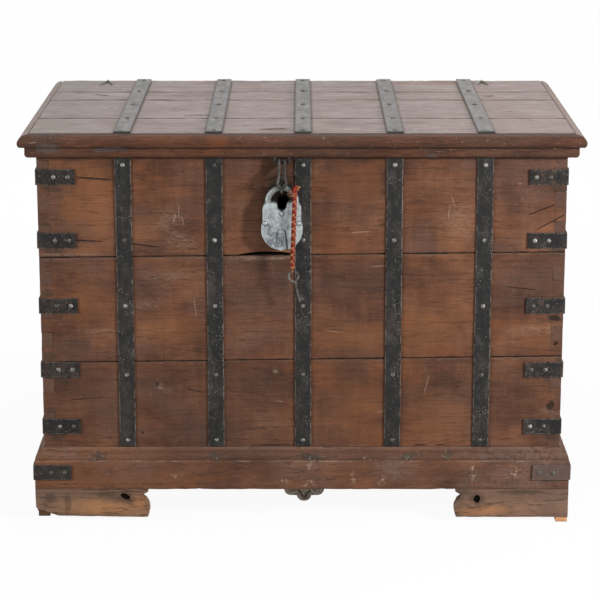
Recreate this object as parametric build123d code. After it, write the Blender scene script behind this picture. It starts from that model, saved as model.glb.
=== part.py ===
"""Iron-bound plank chest with a hasp, a padlock and a key on a plaited cord.

Millimetres, +Z up, front towards -Y, right towards +X. The origin is on the floor, under the
middle of the box round everything but the cord and its key.
"""
import os
from math import cos, pi, radians, sin, sqrt, tan

from build123d import *

os.makedirs("parts", exist_ok=True)

# ---------------------------------------------------------------- driving dimensions

# case
case_width = 978.0
case_depth = 615.0
case_top = 726.0
board_thickness = 22.0
floor_thickness = 20.0
seam_gap = 0.8
arris = 1.5
left_seams = (311.0, 514.0)
right_seams = (324.0, 525.0)
tail_places = (0.22, 0.50, 0.80)
tail_root = 20.0
tail_flare = 4.0
sprung_seam_start = -130.0
sprung_seam_length = 120.0
sprung_seam_gap = 4.5
sprung_seam_overlap = 3.0
void_side = -35.0
void_drop = 108.0
void_width = 20.0
void_height = 30.0

# plinth and feet
shim_height = 10.0
foot_height = 56.0
foot_length = 215.0
foot_cove = 10.0
foot_bulge = 2.0
foot_worn_height = 17.0
foot_worn_length = 120.0
plinth_height = 80.0
plinth_thickness = 18.0
plinth_bead_drop = 24.0
plinth_bead_round = 2.0
shim_width = 22.0
shim_length = 60.0
shim_setback = 34.0
shim_side_inset = 1.0
shim_front_inset = 2.0
left_hole_inset = 44.0
left_hole_drop = 15.0
left_hole_radii = (9.5, 5.8)
left_hole_tilt = -28.0
right_hole_inset = 41.0
right_hole_drop = 20.0
right_hole_radii = (6.2, 8.2)
drop_centre = 4.0
drop_width = 76.0
drop_height = 23.0
drop_depth = 16.0
drop_vein = 2.5

# iron straps and nails
strap_width = 30.0
strap_thickness = 3.0
strap_centres = (-330.0, -162.0, 2.0, 171.0, 338.0)
strap_top_gap = 4.0
strap_foot_gap = 1.0
strap_nails_up = (12.0, 141.0, 275.0)
strap_nails_down = (174.0, 32.0)
corner_straps_up = (40.0, 152.0, 276.0)
corner_straps_down = (179.0, 59.0)
corner_strap_leg = 70.0
corner_nail_inset = 13.0
corner_nail_pitch = 26.0
plinth_strap_drop = 46.0
lid_nails_back = (19.0, 148.0, 302.0, 468.0)
lid_nail_rear_inset = 19.0
lid_strap_setback = 4.0
lid_strap_end_gap = 1.0
nail_head_radius = 4.2
nail_head_height = 2.4
nail_shank_radius = 1.6
nail_length = 15.0
nail_clearance = 0.05

# lid
lid_thickness = 24.0
lid_front_overhang = 10.0
lid_side_overhang = 11.0
lid_seams = (163.0, 375.0, 474.0)
batten_thickness = 20.0
batten_width = 50.0
batten_centres = (-246.0, 254.0)
batten_clearance = 10.0
lip_reach = 20.0
lip_height = 24.0
skirt_reach = 8.0
skirt_height = 21.0
skirt_gap = 5.0
quirk = 1.2

# split-pin hinges
hinge_centres = (-405.0, 375.0)
hinge_standoff = 12.0
hinge_wire = 5.0
hinge_ring_radius = 5.8
hinge_slant = 40.0
hinge_shank = 5.2
tine_diameter = 3.6
tine_length = 38.0
tine_spread = 24.0
tine_gap = 0.2
tine_step = 1.0
hinge_open_angle = 100.0

# lock staple, hasp and its staple
lock_centre = -37.0
wire = 5.0
wire_clearance = 0.3
lock_staple_drop = 85.0
lock_staple_rise = 28.5
staple_bend = 6.0
clench_length = 17.0
clench_bend = 3.0
clench_gap = 0.6
crown_bend = 4.0
pivot_drop = 9.0
pivot_setback = 6.0
hasp_bar_spread = 5.3
hasp_eye_spread = 8.0
hasp_foot_spread = 4.6
hasp_knee_drop = 22.0
hasp_widest_drop = 14.0
hasp_end_drop = 8.5
hasp_knee_bend = 7.0
hasp_widest_bend = 9.0
hasp_end_bend = 4.2
hasp_gap = 0.8
hasp_staple_width = 26.0
hasp_staple_depth = 28.0

# padlock
lock_thickness = 18.0
plate_thickness = 1.6
rim_thickness = 2.0
strap_running_gap = 1.2
shackle_diameter = 11.0
shackle_radius = 26.1
lock_bowl_radius = 38.3
lock_bowl_drop = 51.2
lock_waist = 35.5
shoulder_radius = 13.0
notch_radius = 8.5
notch_depth = 16.0
notch_flare = 7.0
heel_drop = 16.0
heel_end_length = 6.0
leg_end_chamfer = 1.2
heel_pin_diameter = 5.0
toe_depth = 28.0
toe_room = 4.0
heel_room = 1.5
bolt_notch = 3.6
rivet_diameter = 4.0
rivet_head_radius = 4.0
rivet_head_height = 1.4
middle_rivet_drop = 21.0
side_rivet_drop = 39.0
side_rivet_spread = 31.0
bolt_height = 7.0
bolt_nose_height = 5.0
bolt_nose_gap = 2.3
bolt_below_rivet = 1.0
bolt_thickness = 5.0
bolt_travel = 5.8
bolt_back = 14.0
bolt_nose_length = 8.0
bolt_tail = 38.0
bolt_tail_width = 7.0
bolt_tail_side = 6.5
bolt_talon_radius = 2.6
bolt_slot_spare = 1.0
spring_thickness = 0.6
spring_width = 4.0
spring_end = 11.0
spring_foot = 9.0
ward_radius = 9.0
ward_height = 4.0
ward_wall = 1.4
keyhole_drop = 70.0
keyhole_radius = 3.2
keyhole_slot = 12.0
cover_pivot_drop = 55.5
cover_pivot_side = -1.0
cover_top_radius = 6.5
cover_length = 33.0
cover_foot = 19.5
cover_thickness = 1.6
cover_gap = 0.3
cover_foot_rise = 3.0
cover_foot_bulge = 1.0
cover_oval_drop = 10.0
cover_oval_radii = (4.2, 6.0)
cover_oval_height = 0.8

# cord, knots and key
cord_diameter = 10.0
cord_clearance = 1.4
cord_top_side = 5.0
cord_top_drop = 0.7
cord_sways = (0.0, 0.0, 1.8, 2.1, 4.1, 4.1)
cord_leans = (0.0, 0.0, 0.4, 0.3, 0.0, 0.0)
cord_drops = (0.0, 23.0, 53.0, 83.0, 109.0, 135.0)
cord_collar = 7.0
cord_binding = 4.0
strand = 4.0
loop_angle = 45.0
loop_spacing = 15.0
loop_clearance = 0.5
knot_radius = 7.5
key_ring_radius = 5.5
key_strand = 3.0
key_ring_drop = 3.0
key_thickness = 3.0
bow_width = 21.0
bow_height = 22.0
bow_band = 3.2
shank_diameter = 4.4
key_length = 60.0
bit_width = 8.0
bit_height = 10.0
bit_thickness = 2.2
bit_foot = 2.0
bit_cut_depth = 3.0
bit_cut_height = 2.0
bit_cut_rise = 4.0
key_collar_drop = 4.0
key_collar_lip = 1.2
key_collar_length = 3.0
key_tilt = 13.0

# how far a cutting shape passes the face that it cuts, and a mitre's passes the mouldings
cut_over = 1.0
mitre_over = 10.0

# ---------------------------------------------------------------- derived places

foot_top = shim_height + foot_height
floor_top = foot_top + floor_thickness
plinth_top = foot_top + plinth_height
half_width = case_width / 2
lid_top = case_top + lid_thickness
strap_top = lid_top + strap_thickness
strap_foot = plinth_top + strap_foot_gap
strap_head = case_top - strap_top_gap
lock_staple_low = case_top - lock_staple_drop

# the origin is the middle of the depth between the hasp or lip and the back of the hinge rings
hinge_reach = hinge_standoff + hinge_ring_radius + hinge_wire / 2
pivot_offset = strap_thickness + pivot_setback
lock_mid_offset = strap_thickness + strap_running_gap + lock_thickness / 2
nose_offset = lock_mid_offset + shackle_diameter / 2 + 2 * wire_clearance + wire / 2
hasp_offset = nose_offset + wire + hasp_gap
front_reach = max(lid_front_overhang + lip_reach, hasp_offset + wire / 2)
case_front = -(case_depth + hinge_reach - front_reach) / 2
case_back = case_front + case_depth
strap_face = case_front - strap_thickness
plinth_front = case_front - plinth_thickness
lid_front = case_front - lid_front_overhang
lid_side = half_width + lid_side_overhang
hinge_y = case_back + hinge_standoff

pivot_y = case_front - pivot_offset - strap_thickness
pivot_z = case_top - skirt_height - pivot_drop
lock_y = case_front - lock_mid_offset
nose_y = case_front - nose_offset
hasp_y = case_front - hasp_offset
shackle_top_z = lock_staple_low + wire / 2 + wire_clearance + shackle_diameter / 2
shoulder_z = shackle_top_z - shackle_radius
lock_front = lock_y - lock_thickness / 2
lock_back = lock_y + lock_thickness / 2


# ---------------------------------------------------------------- helpers

def block(x, y, z):
    """Box between low and high values given for each axis."""
    spans = (x, y, z)
    centre = [(low + high) / 2 for low, high in spans]
    size = [high - low for low, high in spans]
    return Pos(*centre) * Box(*size)


def along_x(face, start, end):
    """Solid between two stations of X from a face drawn in (y, z)."""
    return extrude(Plane.YZ.offset(start) * face, amount=end - start, dir=(1, 0, 0))


def along_y(face, start, end):
    """Solid between two stations of Y from a face drawn in (x, z)."""
    return extrude(Plane.XZ.offset(-start) * face, amount=end - start, dir=(0, 1, 0))


def upright(face, start, end):
    """Solid between two heights from a face drawn in (x, y)."""
    return extrude(Pos(0, 0, start) * face, amount=end - start, dir=(0, 0, 1))


def polygon(*points):
    return Polygon(*points, align=None)


def outline(start, *steps):
    """Closed face. A step is the next point, or a (middle, end) pair of points for an arc."""
    edges = []
    here = start
    for step in steps:
        if isinstance(step[0], tuple):
            edges.append(ThreePointArc(here, step[0], step[1]))
            here = step[1]
        else:
            edges.append(Line(here, step))
            here = step
    if here != start:
        edges.append(Line(here, start))
    return make_face(edges)


def arc_radii(points):
    """Largest bend radius that each inner point's two runs allow."""
    radii = []
    for before, here, after in zip(points, points[1:], points[2:]):
        run_in = Vector(*here) - Vector(*before)
        run_out = Vector(*after) - Vector(*here)
        turn = radians(run_in.get_angle(run_out))
        radii.append(0.45 * min(run_in.length, run_out.length) / tan(turn / 2))
    return radii


def rod(points, bends, diameter):
    """Round rod through points, with one bend radius for each point between the ends."""
    path = FilletPolyline(*points, radius=bends) if bends else Line(*points)
    section = Plane(origin=path @ 0, z_dir=path % 0) * Circle(diameter / 2)
    return sweep(section, path=path)


def straight(start, direction, begin, end, diameter):
    """Straight round bar along a direction, between two distances from a point."""
    unit = Vector(*direction).normalized()
    length = end - begin
    base = Vector(*start) + unit * begin
    return Plane(origin=base, z_dir=unit) * Pos(0, 0, length / 2) * Cylinder(diameter / 2, length)


def ring(centre, normal, radius, diameter):
    return Plane(origin=centre, z_dir=normal) * Torus(radius, diameter / 2)


def near(piece, places, reach):
    """The places that lie within reach of a piece's box."""
    box = piece.bounding_box()
    found = []
    for place in places:
        spot = place.position
        inside_x = box.min.X - reach < spot.X < box.max.X + reach
        inside_y = box.min.Y - reach < spot.Y < box.max.Y + reach
        inside_z = box.min.Z - reach < spot.Z < box.max.Z + reach
        if inside_x and inside_y and inside_z:
            found.append(place)
    return found


def drilled(piece, places):
    """Piece with a nail hole at each place that reaches it."""
    holes = [place * nail_hole for place in near(piece, places, nail_length)]
    return piece - holes if holes else piece


def save(shape, name):
    export_step(shape, f"parts/{name}.step")


# ---------------------------------------------------------------- nails

def domed_head(radius, height):
    ball = (radius ** 2 + height ** 2) / (2 * height)
    cap = Pos(0, 0, height - ball) * Sphere(ball)
    return cap & Pos(0, 0, height / 2) * Cylinder(radius, height)


nail_shank = Pos(0, 0, -nail_length / 2) * Cylinder(nail_shank_radius, nail_length)
nail = domed_head(nail_head_radius, nail_head_height) + nail_shank
nail_hole_top = cut_over
nail_hole_low = -nail_length - cut_over
nail_hole_radius = nail_shank_radius + nail_clearance
nail_hole_middle = (nail_hole_top + nail_hole_low) / 2
nail_hole = Pos(0, 0, nail_hole_middle) * Cylinder(nail_hole_radius, nail_hole_top - nail_hole_low)

facing_front = Rot(90, 0, 0)
facing_back = Rot(-90, 0, 0)
facing_left = Rot(0, -90, 0)
facing_right = Rot(0, 90, 0)

strap_nail_heights = [strap_foot + up for up in strap_nails_up]
strap_nail_heights += [strap_head - down for down in strap_nails_down]
corner_strap_heights = [plinth_top + up for up in corner_straps_up]
corner_strap_heights += [case_top - down for down in corner_straps_down]
front_nails = [
    Pos(x, strap_face, z) * facing_front
    for x in strap_centres
    for z in strap_nail_heights
]


def corner_nail_places(height, out_x, front, back):
    """Two nails on each face of the corner straps at one height, on all four corners."""
    places = []
    for step in (0, 1):
        along = corner_strap_leg - corner_nail_inset - step * corner_nail_pitch
        for side in (-1, 1):
            x = side * (out_x - along)
            face = side * (out_x + strap_thickness)
            turn = facing_right if side > 0 else facing_left
            places.append(Pos(x, front - strap_thickness, height) * facing_front)
            places.append(Pos(face, front + along, height) * turn)
            if back is not None:
                places.append(Pos(x, back + strap_thickness, height) * facing_back)
                places.append(Pos(face, back - along, height) * turn)
    return places


corner_nails = []
for height in corner_strap_heights:
    corner_nails += corner_nail_places(height, half_width, case_front, case_back)
plinth_strap_z = plinth_top - plinth_strap_drop
plinth_nails = corner_nail_places(plinth_strap_z, half_width + plinth_thickness, plinth_front, None)
case_nail_places = front_nails + corner_nails + plinth_nails


# ---------------------------------------------------------------- case

def courses(seams):
    """Low and high edge of each course of planks on one side."""
    low = floor_top
    spans = []
    for seam in seams:
        spans.append((low, seam - seam_gap / 2))
        low = seam + seam_gap / 2
    spans.append((low, case_top))
    return spans


left_courses = courses(left_seams)
right_courses = courses(right_seams)


def tails(span, side):
    """Dovetails of one side plank, front and back."""
    low, high = span
    inner = side * (half_width - board_thickness)
    outer = side * half_width
    solids = []
    for place in tail_places:
        z = low + place * (high - low)
        root = tail_root / 2
        end = root + tail_flare
        for face, inward in ((case_front, 1), (case_back, -1)):
            shoulder = face + inward * board_thickness
            shape = polygon((face, z - end), (face, z + end), (shoulder, z + root), (shoulder, z - root))
            solids.append(along_x(shape, min(inner, outer), max(inner, outer)))
    return solids


def side_plank(span, side):
    low, high = span
    inner = side * (half_width - board_thickness)
    outer = side * half_width
    body = block(
        (min(inner, outer), max(inner, outer)),
        (case_front + board_thickness, case_back - board_thickness),
        (low, high),
    )
    return body + tails(span, side)


def end_plank(left, right, front):
    """Front or back plank of one course, its edges sloping from the left seam to the right one."""
    shape = polygon(
        (-half_width, left[0]), (half_width, right[0]), (half_width, right[1]), (-half_width, left[1])
    )
    start = case_front if front else case_back - board_thickness
    plank = along_y(shape, start, start + board_thickness)
    face = plank.faces().sort_by(Axis.Y)[0 if front else -1]
    long_edges = face.edges().filter_by(lambda edge: edge.length > case_width / 2)
    plank = chamfer(long_edges, arris)
    return plank - tails(left, -1) - tails(right, 1)


def through_board(shape, face):
    """Cut through a front board whose face is at a station of Y."""
    return along_y(shape, face - cut_over, face + board_thickness + cut_over)


def void_cut():
    """Hole left in the front by an older lock."""
    shape = SlotCenterToCenter(void_height - void_width, void_width, rotation=90)
    return through_board(Pos(void_side, case_top - void_drop) * shape, case_front)


def sprung_seam_cut():
    """Lens where the upper front plank has shrunk away from the one below."""
    slope = (right_seams[1] - left_seams[1]) / case_width
    start_x = sprung_seam_start
    end_x = start_x + sprung_seam_length
    start_z = left_courses[2][0] + slope * (start_x + half_width)
    end_z = start_z + slope * sprung_seam_length
    middle = ((start_x + end_x) / 2, (start_z + end_z) / 2 + sprung_seam_gap)
    shape = outline(
        (start_x, start_z - sprung_seam_overlap),
        (start_x, start_z),
        (middle, (end_x, end_z)),
        (end_x, end_z - sprung_seam_overlap),
    )
    return through_board(shape, case_front)


clench_y = case_front + board_thickness + wire / 2 + clench_gap
staple_high = lock_staple_low + lock_staple_rise


def staple_holes():
    """The two holes of the lock staple through the front."""
    holes = []
    for z in (lock_staple_low, staple_high):
        start = (lock_centre, case_front, z)
        end = board_thickness + cut_over
        holes.append(straight(start, (0, 1, 0), -cut_over, end, wire + 2 * nail_clearance))
    return holes


hinge_down = (0, -cos(radians(hinge_slant)), -sin(radians(hinge_slant)))
hinge_up = (0, -cos(radians(hinge_slant)), sin(radians(hinge_slant)))
case_pin_length = (hinge_standoff + board_thickness) / cos(radians(hinge_slant))
lid_pin_length = lid_thickness / sin(radians(hinge_slant))


def pin_holes(direction, length):
    holes = []
    end = length + board_thickness / 2
    diameter = hinge_shank + 2 * nail_clearance
    for x in hinge_centres:
        holes.append(straight((x, hinge_y, case_top), direction, 2 * hinge_ring_radius, end, diameter))
    return holes


course_names = ("lower", "middle", "upper")
for index, name in enumerate(course_names):
    left = left_courses[index]
    right = right_courses[index]
    front_plank = end_plank(left, right, True)
    back_plank = end_plank(left, right, False)
    if name == "upper":
        front_plank = front_plank - void_cut() - sprung_seam_cut() - staple_holes()
        back_plank = back_plank - pin_holes(hinge_down, case_pin_length)
    save(drilled(front_plank, case_nail_places), f"front_plank_{name}")
    save(drilled(back_plank, case_nail_places), f"back_plank_{name}")
    save(drilled(side_plank(left, -1), case_nail_places), f"left_plank_{name}")
    save(drilled(side_plank(right, 1), case_nail_places), f"right_plank_{name}")

floor_board_count = 3
floor_board = case_depth / floor_board_count
floor_boards = Compound(children=[
    block(
        (-half_width, half_width),
        (case_front + i * floor_board + seam_gap / 2, case_front + (i + 1) * floor_board - seam_gap / 2),
        (foot_top, floor_top),
    )
    for i in range(floor_board_count)
])
save(floor_boards, "floor_boards")


# ---------------------------------------------------------------- plinth, feet and drop

def plinth_profile(face, outward):
    """Section of the plinth in (across, z), from the case's face outwards."""
    bead = plinth_top - plinth_bead_drop
    reach = plinth_thickness

    def at(u, z):
        return (face + outward * u, z)

    return outline(
        at(0, foot_top),
        at(reach, foot_top),
        at(reach, bead - plinth_bead_round),
        (
            at(reach - plinth_bead_round * 0.6, bead - plinth_bead_round * 0.25),
            at(reach - plinth_bead_round * 0.8, bead + plinth_bead_round * 0.5),
        ),
        (at(reach * 0.78, bead + plinth_bead_drop * 0.5), at(reach * 0.39, bead + plinth_bead_drop * 0.71)),
        (at(reach * 0.28, bead + plinth_bead_drop * 0.83), at(reach * 0.11, plinth_top)),
        at(0, plinth_top),
    )


mitre_reach = plinth_thickness + mitre_over
front_mitre = upright(
    polygon(
        (-half_width, case_front),
        (half_width, case_front),
        (half_width + mitre_reach, case_front - mitre_reach),
        (-half_width - mitre_reach, case_front - mitre_reach),
    ),
    0,
    plinth_top + cut_over,
)
plinth_side = half_width + plinth_thickness
plinth_front_board = along_x(plinth_profile(case_front, -1), -plinth_side, plinth_side) & front_mitre
plinth_right_board = along_y(plinth_profile(half_width, 1), plinth_front, case_back) - front_mitre
plinth_left_board = mirror(plinth_right_board, about=Plane.YZ)
save(drilled(plinth_front_board, case_nail_places), "plinth_front")
save(drilled(plinth_left_board, case_nail_places), "plinth_left")
save(drilled(plinth_right_board, case_nail_places), "plinth_right")


def bracket_face(length):
    """Outline of a bracket foot in (along, z): corner at 0, carved end at length."""
    end = length
    low = shim_height
    top = foot_top
    return outline(
        (0, low),
        (0, top),
        (end, top),
        (end, top - foot_height * 0.09),
        (end - foot_cove * 0.85, top - foot_height * 0.18),
        (
            (end - foot_cove * 1.05, top - foot_height * 0.25),
            (end - foot_cove * 0.6, top - foot_height * 0.36),
        ),
        ((end + foot_bulge, low + foot_height * 0.32), (end - foot_bulge, low)),
    )


def corner_mitre(long_way):
    """Wedge that keeps the half of a foot's corner that belongs to one bracket."""
    size = foot_length + mitre_over
    third = (size, 0) if long_way else (0, size)
    return upright(polygon((0, 0), (size, size), third), 0, foot_top + cut_over)


def foot():
    """Front left foot with its outer corner at the origin, legs along +X and +Y."""
    front = along_y(bracket_face(foot_length), 0, board_thickness)
    side = along_x(bracket_face(foot_length), 0, board_thickness)
    front = front & corner_mitre(True)
    side = side & corner_mitre(False)
    return front, side


def placed_foot(mirror_x, mirror_y):
    pieces = []
    for piece in foot():
        if mirror_x:
            piece = mirror(piece, about=Plane.YZ)
        if mirror_y:
            piece = mirror(piece, about=Plane.XZ)
        corner_x = plinth_side if mirror_x else -plinth_side
        corner_y = case_back if mirror_y else plinth_front
        pieces.append(Pos(corner_x, corner_y, 0) * piece)
    return pieces


def peg_hole(x, drop, radii, tilt):
    return through_board(Pos(x, foot_top - drop) * Ellipse(*radii, rotation=tilt), plinth_front)


def worn_corner():
    """What use has taken off the front left foot's outer bottom corner."""
    x = -plinth_side
    low = shim_height
    shape = outline(
        (x - cut_over, low - cut_over),
        (x - cut_over, low + foot_worn_height),
        (x, low + foot_worn_height),
        (
            (x + foot_worn_length * 0.2, low + foot_worn_height * 0.35),
            (x + foot_worn_length, low),
        ),
        (x + foot_worn_length, low - cut_over),
    )
    return through_board(shape, plinth_front)


foot_end = plinth_side - foot_length
left_hole_cut = peg_hole(-foot_end - left_hole_inset, left_hole_drop, left_hole_radii, left_hole_tilt)
right_hole_cut = peg_hole(foot_end + right_hole_inset, right_hole_drop, right_hole_radii, 0)
front_left = placed_foot(False, False)
front_right = placed_foot(True, False)
front_left[0] = front_left[0] - left_hole_cut - worn_corner()
front_left[1] = front_left[1] - worn_corner()
front_right[0] = front_right[0] - right_hole_cut
feet = {
    "foot_front_left": front_left,
    "foot_front_right": front_right,
    "foot_back_left": placed_foot(False, True),
    "foot_back_right": placed_foot(True, True),
}
for name, pieces in feet.items():
    save(Compound(children=[Part() + piece for piece in pieces]), name)


def shim(side, start):
    outer = side * (plinth_side - shim_side_inset)
    inner = outer - side * shim_width
    return block((min(inner, outer), max(inner, outer)), (start, start + shim_length), (0, shim_height))


shims = Compound(children=[
    shim(1, plinth_front + shim_front_inset),
    shim(-1, plinth_front + shim_setback),
    shim(1, case_back - shim_setback - shim_length),
    shim(-1, case_back - shim_setback - shim_length),
])
save(shims, "levelling_shims")


def carved_drop():
    """Pendant under the middle of the plinth: two lobes, and a drop with two veins between them."""
    half = drop_width / 2
    top = foot_top
    lobe = drop_height * 0.5
    x = drop_centre
    shape = outline(
        (x - half, top),
        (x + half, top),
        ((x + half * 0.88, top - lobe * 0.75), (x + half * 0.62, top - lobe)),
        (x + half * 0.36, top - lobe * 1.05),
        ((x + half * 0.22, top - drop_height * 0.9), (x, top - drop_height)),
        ((x - half * 0.22, top - drop_height * 0.9), (x - half * 0.36, top - lobe * 1.05)),
        (x - half * 0.62, top - lobe),
        ((x - half * 0.88, top - lobe * 0.75), (x - half, top)),
    )
    body = along_y(shape, plinth_front, plinth_front + drop_depth)
    foot_point = (x, plinth_front, top - drop_height * 0.75)
    veins = []
    for side in (-1, 1):
        head_point = (x + side * half * 0.3, plinth_front, top - drop_height * 0.04)
        veins.append(rod([foot_point, head_point], None, 2 * drop_vein))
    return body - veins


save(carved_drop(), "carved_drop")


# ---------------------------------------------------------------- iron on the case

def front_strap(x):
    strap = block(
        (x - strap_width / 2, x + strap_width / 2),
        (strap_face, case_front),
        (strap_foot, strap_head),
    )
    front_edges = strap.edges().filter_by(Axis.Z).group_by(Axis.Y)[0]
    return drilled(chamfer(front_edges, strap_thickness * 0.3), front_nails)


for index, x in enumerate(strap_centres):
    save(front_strap(x), f"front_strap_{index + 1}")


def corner_strap(out_x, out_y, height):
    """Strap bent round the front right corner of a box whose faces are at out_x and out_y."""
    shape = polygon(
        (out_x - corner_strap_leg, out_y - strap_thickness),
        (out_x + strap_thickness, out_y - strap_thickness),
        (out_x + strap_thickness, out_y + corner_strap_leg),
        (out_x, out_y + corner_strap_leg),
        (out_x, out_y),
        (out_x - corner_strap_leg, out_y),
    )
    strap = upright(shape, height - strap_width / 2, height + strap_width / 2)
    corner = (out_x + strap_thickness, out_y - strap_thickness, height)
    bend = strap.edges().filter_by(Axis.Z).sort_by_distance(corner)[0]
    return fillet(bend, strap_thickness * 0.8)


def strap_group(front):
    pieces = []
    for height in corner_strap_heights:
        right = corner_strap(half_width, case_front, height)
        if not front:
            right = Pos(0, case_front + case_back, 0) * mirror(right, about=Plane.XZ)
        pieces += [right, mirror(right, about=Plane.YZ)]
    if front:
        right = corner_strap(plinth_side, plinth_front, plinth_strap_z)
        pieces += [right, mirror(right, about=Plane.YZ)]
    return Compound(children=[Part() + drilled(piece, corner_nails + plinth_nails) for piece in pieces])


save(strap_group(True), "corner_straps_front")
save(strap_group(False), "corner_straps_back")
save(Compound(children=[place * nail for place in case_nail_places]), "case_nails")


def staple_path(spread_up):
    """Points of the lock staple: in through the front, round the nose and back, clenched inside."""
    return [
        (lock_centre, clench_y, lock_staple_low - spread_up),
        (lock_centre, clench_y, lock_staple_low),
        (lock_centre, nose_y, lock_staple_low),
        (lock_centre, nose_y, staple_high),
        (lock_centre, clench_y, staple_high),
        (lock_centre, clench_y, staple_high + spread_up),
    ]


staple_bends = [clench_bend, staple_bend, staple_bend, clench_bend]
save(rod(staple_path(clench_length), staple_bends, wire), "lock_staple")


def tines(exit_point, run, spread, lift):
    """Two ends of a split pin, bent apart and lying along the wood."""
    ends = []
    start = Vector(*exit_point) + Vector(*lift)
    for side in (-1, 1):
        end = start + Vector(*run) + Vector(side * spread / 2, 0, 0)
        ends.append(rod([tuple(start), tuple(end)], None, tine_diameter))
        ends.append(Pos(*end) * Sphere(tine_diameter / 2))
    return ends


def case_pin(x):
    axis = (x, hinge_y, case_top)
    shank = straight(axis, hinge_down, hinge_ring_radius, case_pin_length + tine_diameter, hinge_shank)
    eye = ring(axis, (1, 0, 0), hinge_ring_radius, hinge_wire)
    inner = case_back - board_thickness
    exit_z = case_top - case_pin_length * sin(radians(hinge_slant))
    rest = (0, -tine_diameter / 2 - tine_gap, -tine_step)
    return Part() + eye + shank + tines((x, inner, exit_z), (0, 0, -tine_length), tine_spread, rest)


save(Compound(children=[case_pin(x) for x in hinge_centres]), "hinge_pins_case")


# ---------------------------------------------------------------- lid

lid_nail_rows = [lid_front + back for back in lid_nails_back]
lid_nail_rows += [case_back - lid_nail_rear_inset]
lid_nails = [Pos(x, y, strap_top) for x in strap_centres for y in lid_nail_rows]


def lid_spans():
    low = 0.0
    spans = []
    for seam in lid_seams:
        spans.append((low, seam - seam_gap / 2))
        low = seam + seam_gap / 2
    spans.append((low, case_back - lid_front))
    return spans


for index, (low, high) in enumerate(lid_spans()):
    plank = block((-lid_side, lid_side), (lid_front + low, lid_front + high), (case_top, lid_top))
    top_edges = plank.edges().filter_by(Axis.X).group_by(Axis.Z)[-1]
    plank = chamfer(top_edges, arris * 0.6)
    if index == len(lid_seams):
        plank = plank - pin_holes(hinge_up, lid_pin_length)
    save(drilled(plank, lid_nails), f"lid_plank_{index + 1}")

batten_front = case_front + board_thickness + batten_clearance
batten_back = case_back - board_thickness - batten_clearance
battens = Compound(children=[
    block(
        (x - batten_width / 2, x + batten_width / 2),
        (batten_front, batten_back),
        (case_top - batten_thickness, case_top),
    )
    for x in batten_centres
])
save(battens, "lid_battens")


def lid_profile(edge, outward):
    """Section of the lid's moulding in (across, z): a rounded lip over a thinner skirt."""
    lip_low = lid_top - lip_height
    low = case_top - skirt_height

    def at(u, z):
        return (edge + outward * u, z)

    return outline(
        at(0, case_top),
        at(0, lid_top - 2 * quirk),
        at(quirk, lid_top - 2 * quirk),
        at(quirk, lid_top - lip_height * 0.04),
        (at(lip_reach * 0.62, lid_top - lip_height * 0.15), at(lip_reach, lid_top - lip_height * 0.56)),
        (at(lip_reach * 0.98, lid_top - lip_height * 0.8), at(lip_reach * 0.8, lip_low)),
        at(skirt_reach + quirk, lip_low),
        at(skirt_reach, lip_low - quirk),
        at(skirt_reach, low + skirt_height * 0.5),
        (at(skirt_reach * 0.8, low + skirt_height * 0.16), at(0, low)),
        at(-skirt_gap, low),
        at(-skirt_gap, case_top),
    )


lid_mitre_reach = lip_reach + mitre_over
inner_edge = skirt_gap + cut_over
lid_mitre = upright(
    polygon(
        (-lid_side + inner_edge, lid_front + inner_edge),
        (lid_side - inner_edge, lid_front + inner_edge),
        (lid_side + lid_mitre_reach, lid_front - lid_mitre_reach),
        (-lid_side - lid_mitre_reach, lid_front - lid_mitre_reach),
    ),
    case_top - skirt_height - cut_over,
    lid_top + cut_over,
)
lip_side = lid_side + lip_reach
staple_leg_top = pivot_z + hasp_staple_depth


def hasp_staple_holes():
    holes = []
    for side in (-1, 1):
        x = lock_centre + side * hasp_staple_width / 2
        end = hasp_staple_depth + cut_over
        holes.append(straight((x, pivot_y, pivot_z), (0, 0, 1), 0, end, wire + 2 * nail_clearance))
    return holes


front_moulding = along_x(lid_profile(lid_front, -1), -lip_side, lip_side) & lid_mitre
side_moulding = along_y(lid_profile(lid_side, 1), lid_front - lip_reach, case_back) - lid_mitre
save(front_moulding - hasp_staple_holes(), "lid_moulding_front")
save(side_moulding, "lid_moulding_right")
save(mirror(side_moulding, about=Plane.YZ), "lid_moulding_left")


def lid_strap(x):
    """Strap along the lid, folded down over its back edge."""
    start = lid_front + lid_strap_setback
    fold = case_back + strap_thickness
    end = case_top + lid_strap_end_gap
    shape = polygon(
        (start, lid_top),
        (start, strap_top),
        (fold, strap_top),
        (fold, end),
        (case_back, end),
        (case_back, lid_top),
    )
    strap = along_x(shape, x - strap_width / 2, x + strap_width / 2)
    bend = strap.edges().filter_by(Axis.X).sort_by_distance((x, fold, strap_top))[0]
    return drilled(fillet(bend, strap_thickness * 0.8), lid_nails)


for index, x in enumerate(strap_centres):
    save(lid_strap(x), f"lid_strap_{index + 1}")
save(Compound(children=[place * nail for place in lid_nails]), "lid_nails")


def lid_pin(x):
    axis = Vector(x, hinge_y, case_top)
    along = Vector(*hinge_up)
    normal = along.cross(Vector(1, 0, 0))
    eye = ring(axis + along * hinge_ring_radius, normal, hinge_ring_radius, hinge_wire)
    shank = straight(axis, hinge_up, 2 * hinge_ring_radius, lid_pin_length + tine_diameter, hinge_shank)
    exit_y = hinge_y - lid_pin_length * cos(radians(hinge_slant))
    rest = (0, -tine_step, tine_diameter / 2 + tine_gap)
    return Part() + eye + shank + tines((x, exit_y, lid_top), (0, -tine_length, 0), tine_spread, rest)


save(Compound(children=[lid_pin(x) for x in hinge_centres]), "hinge_pins_lid")


# ---------------------------------------------------------------- hasp

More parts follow.
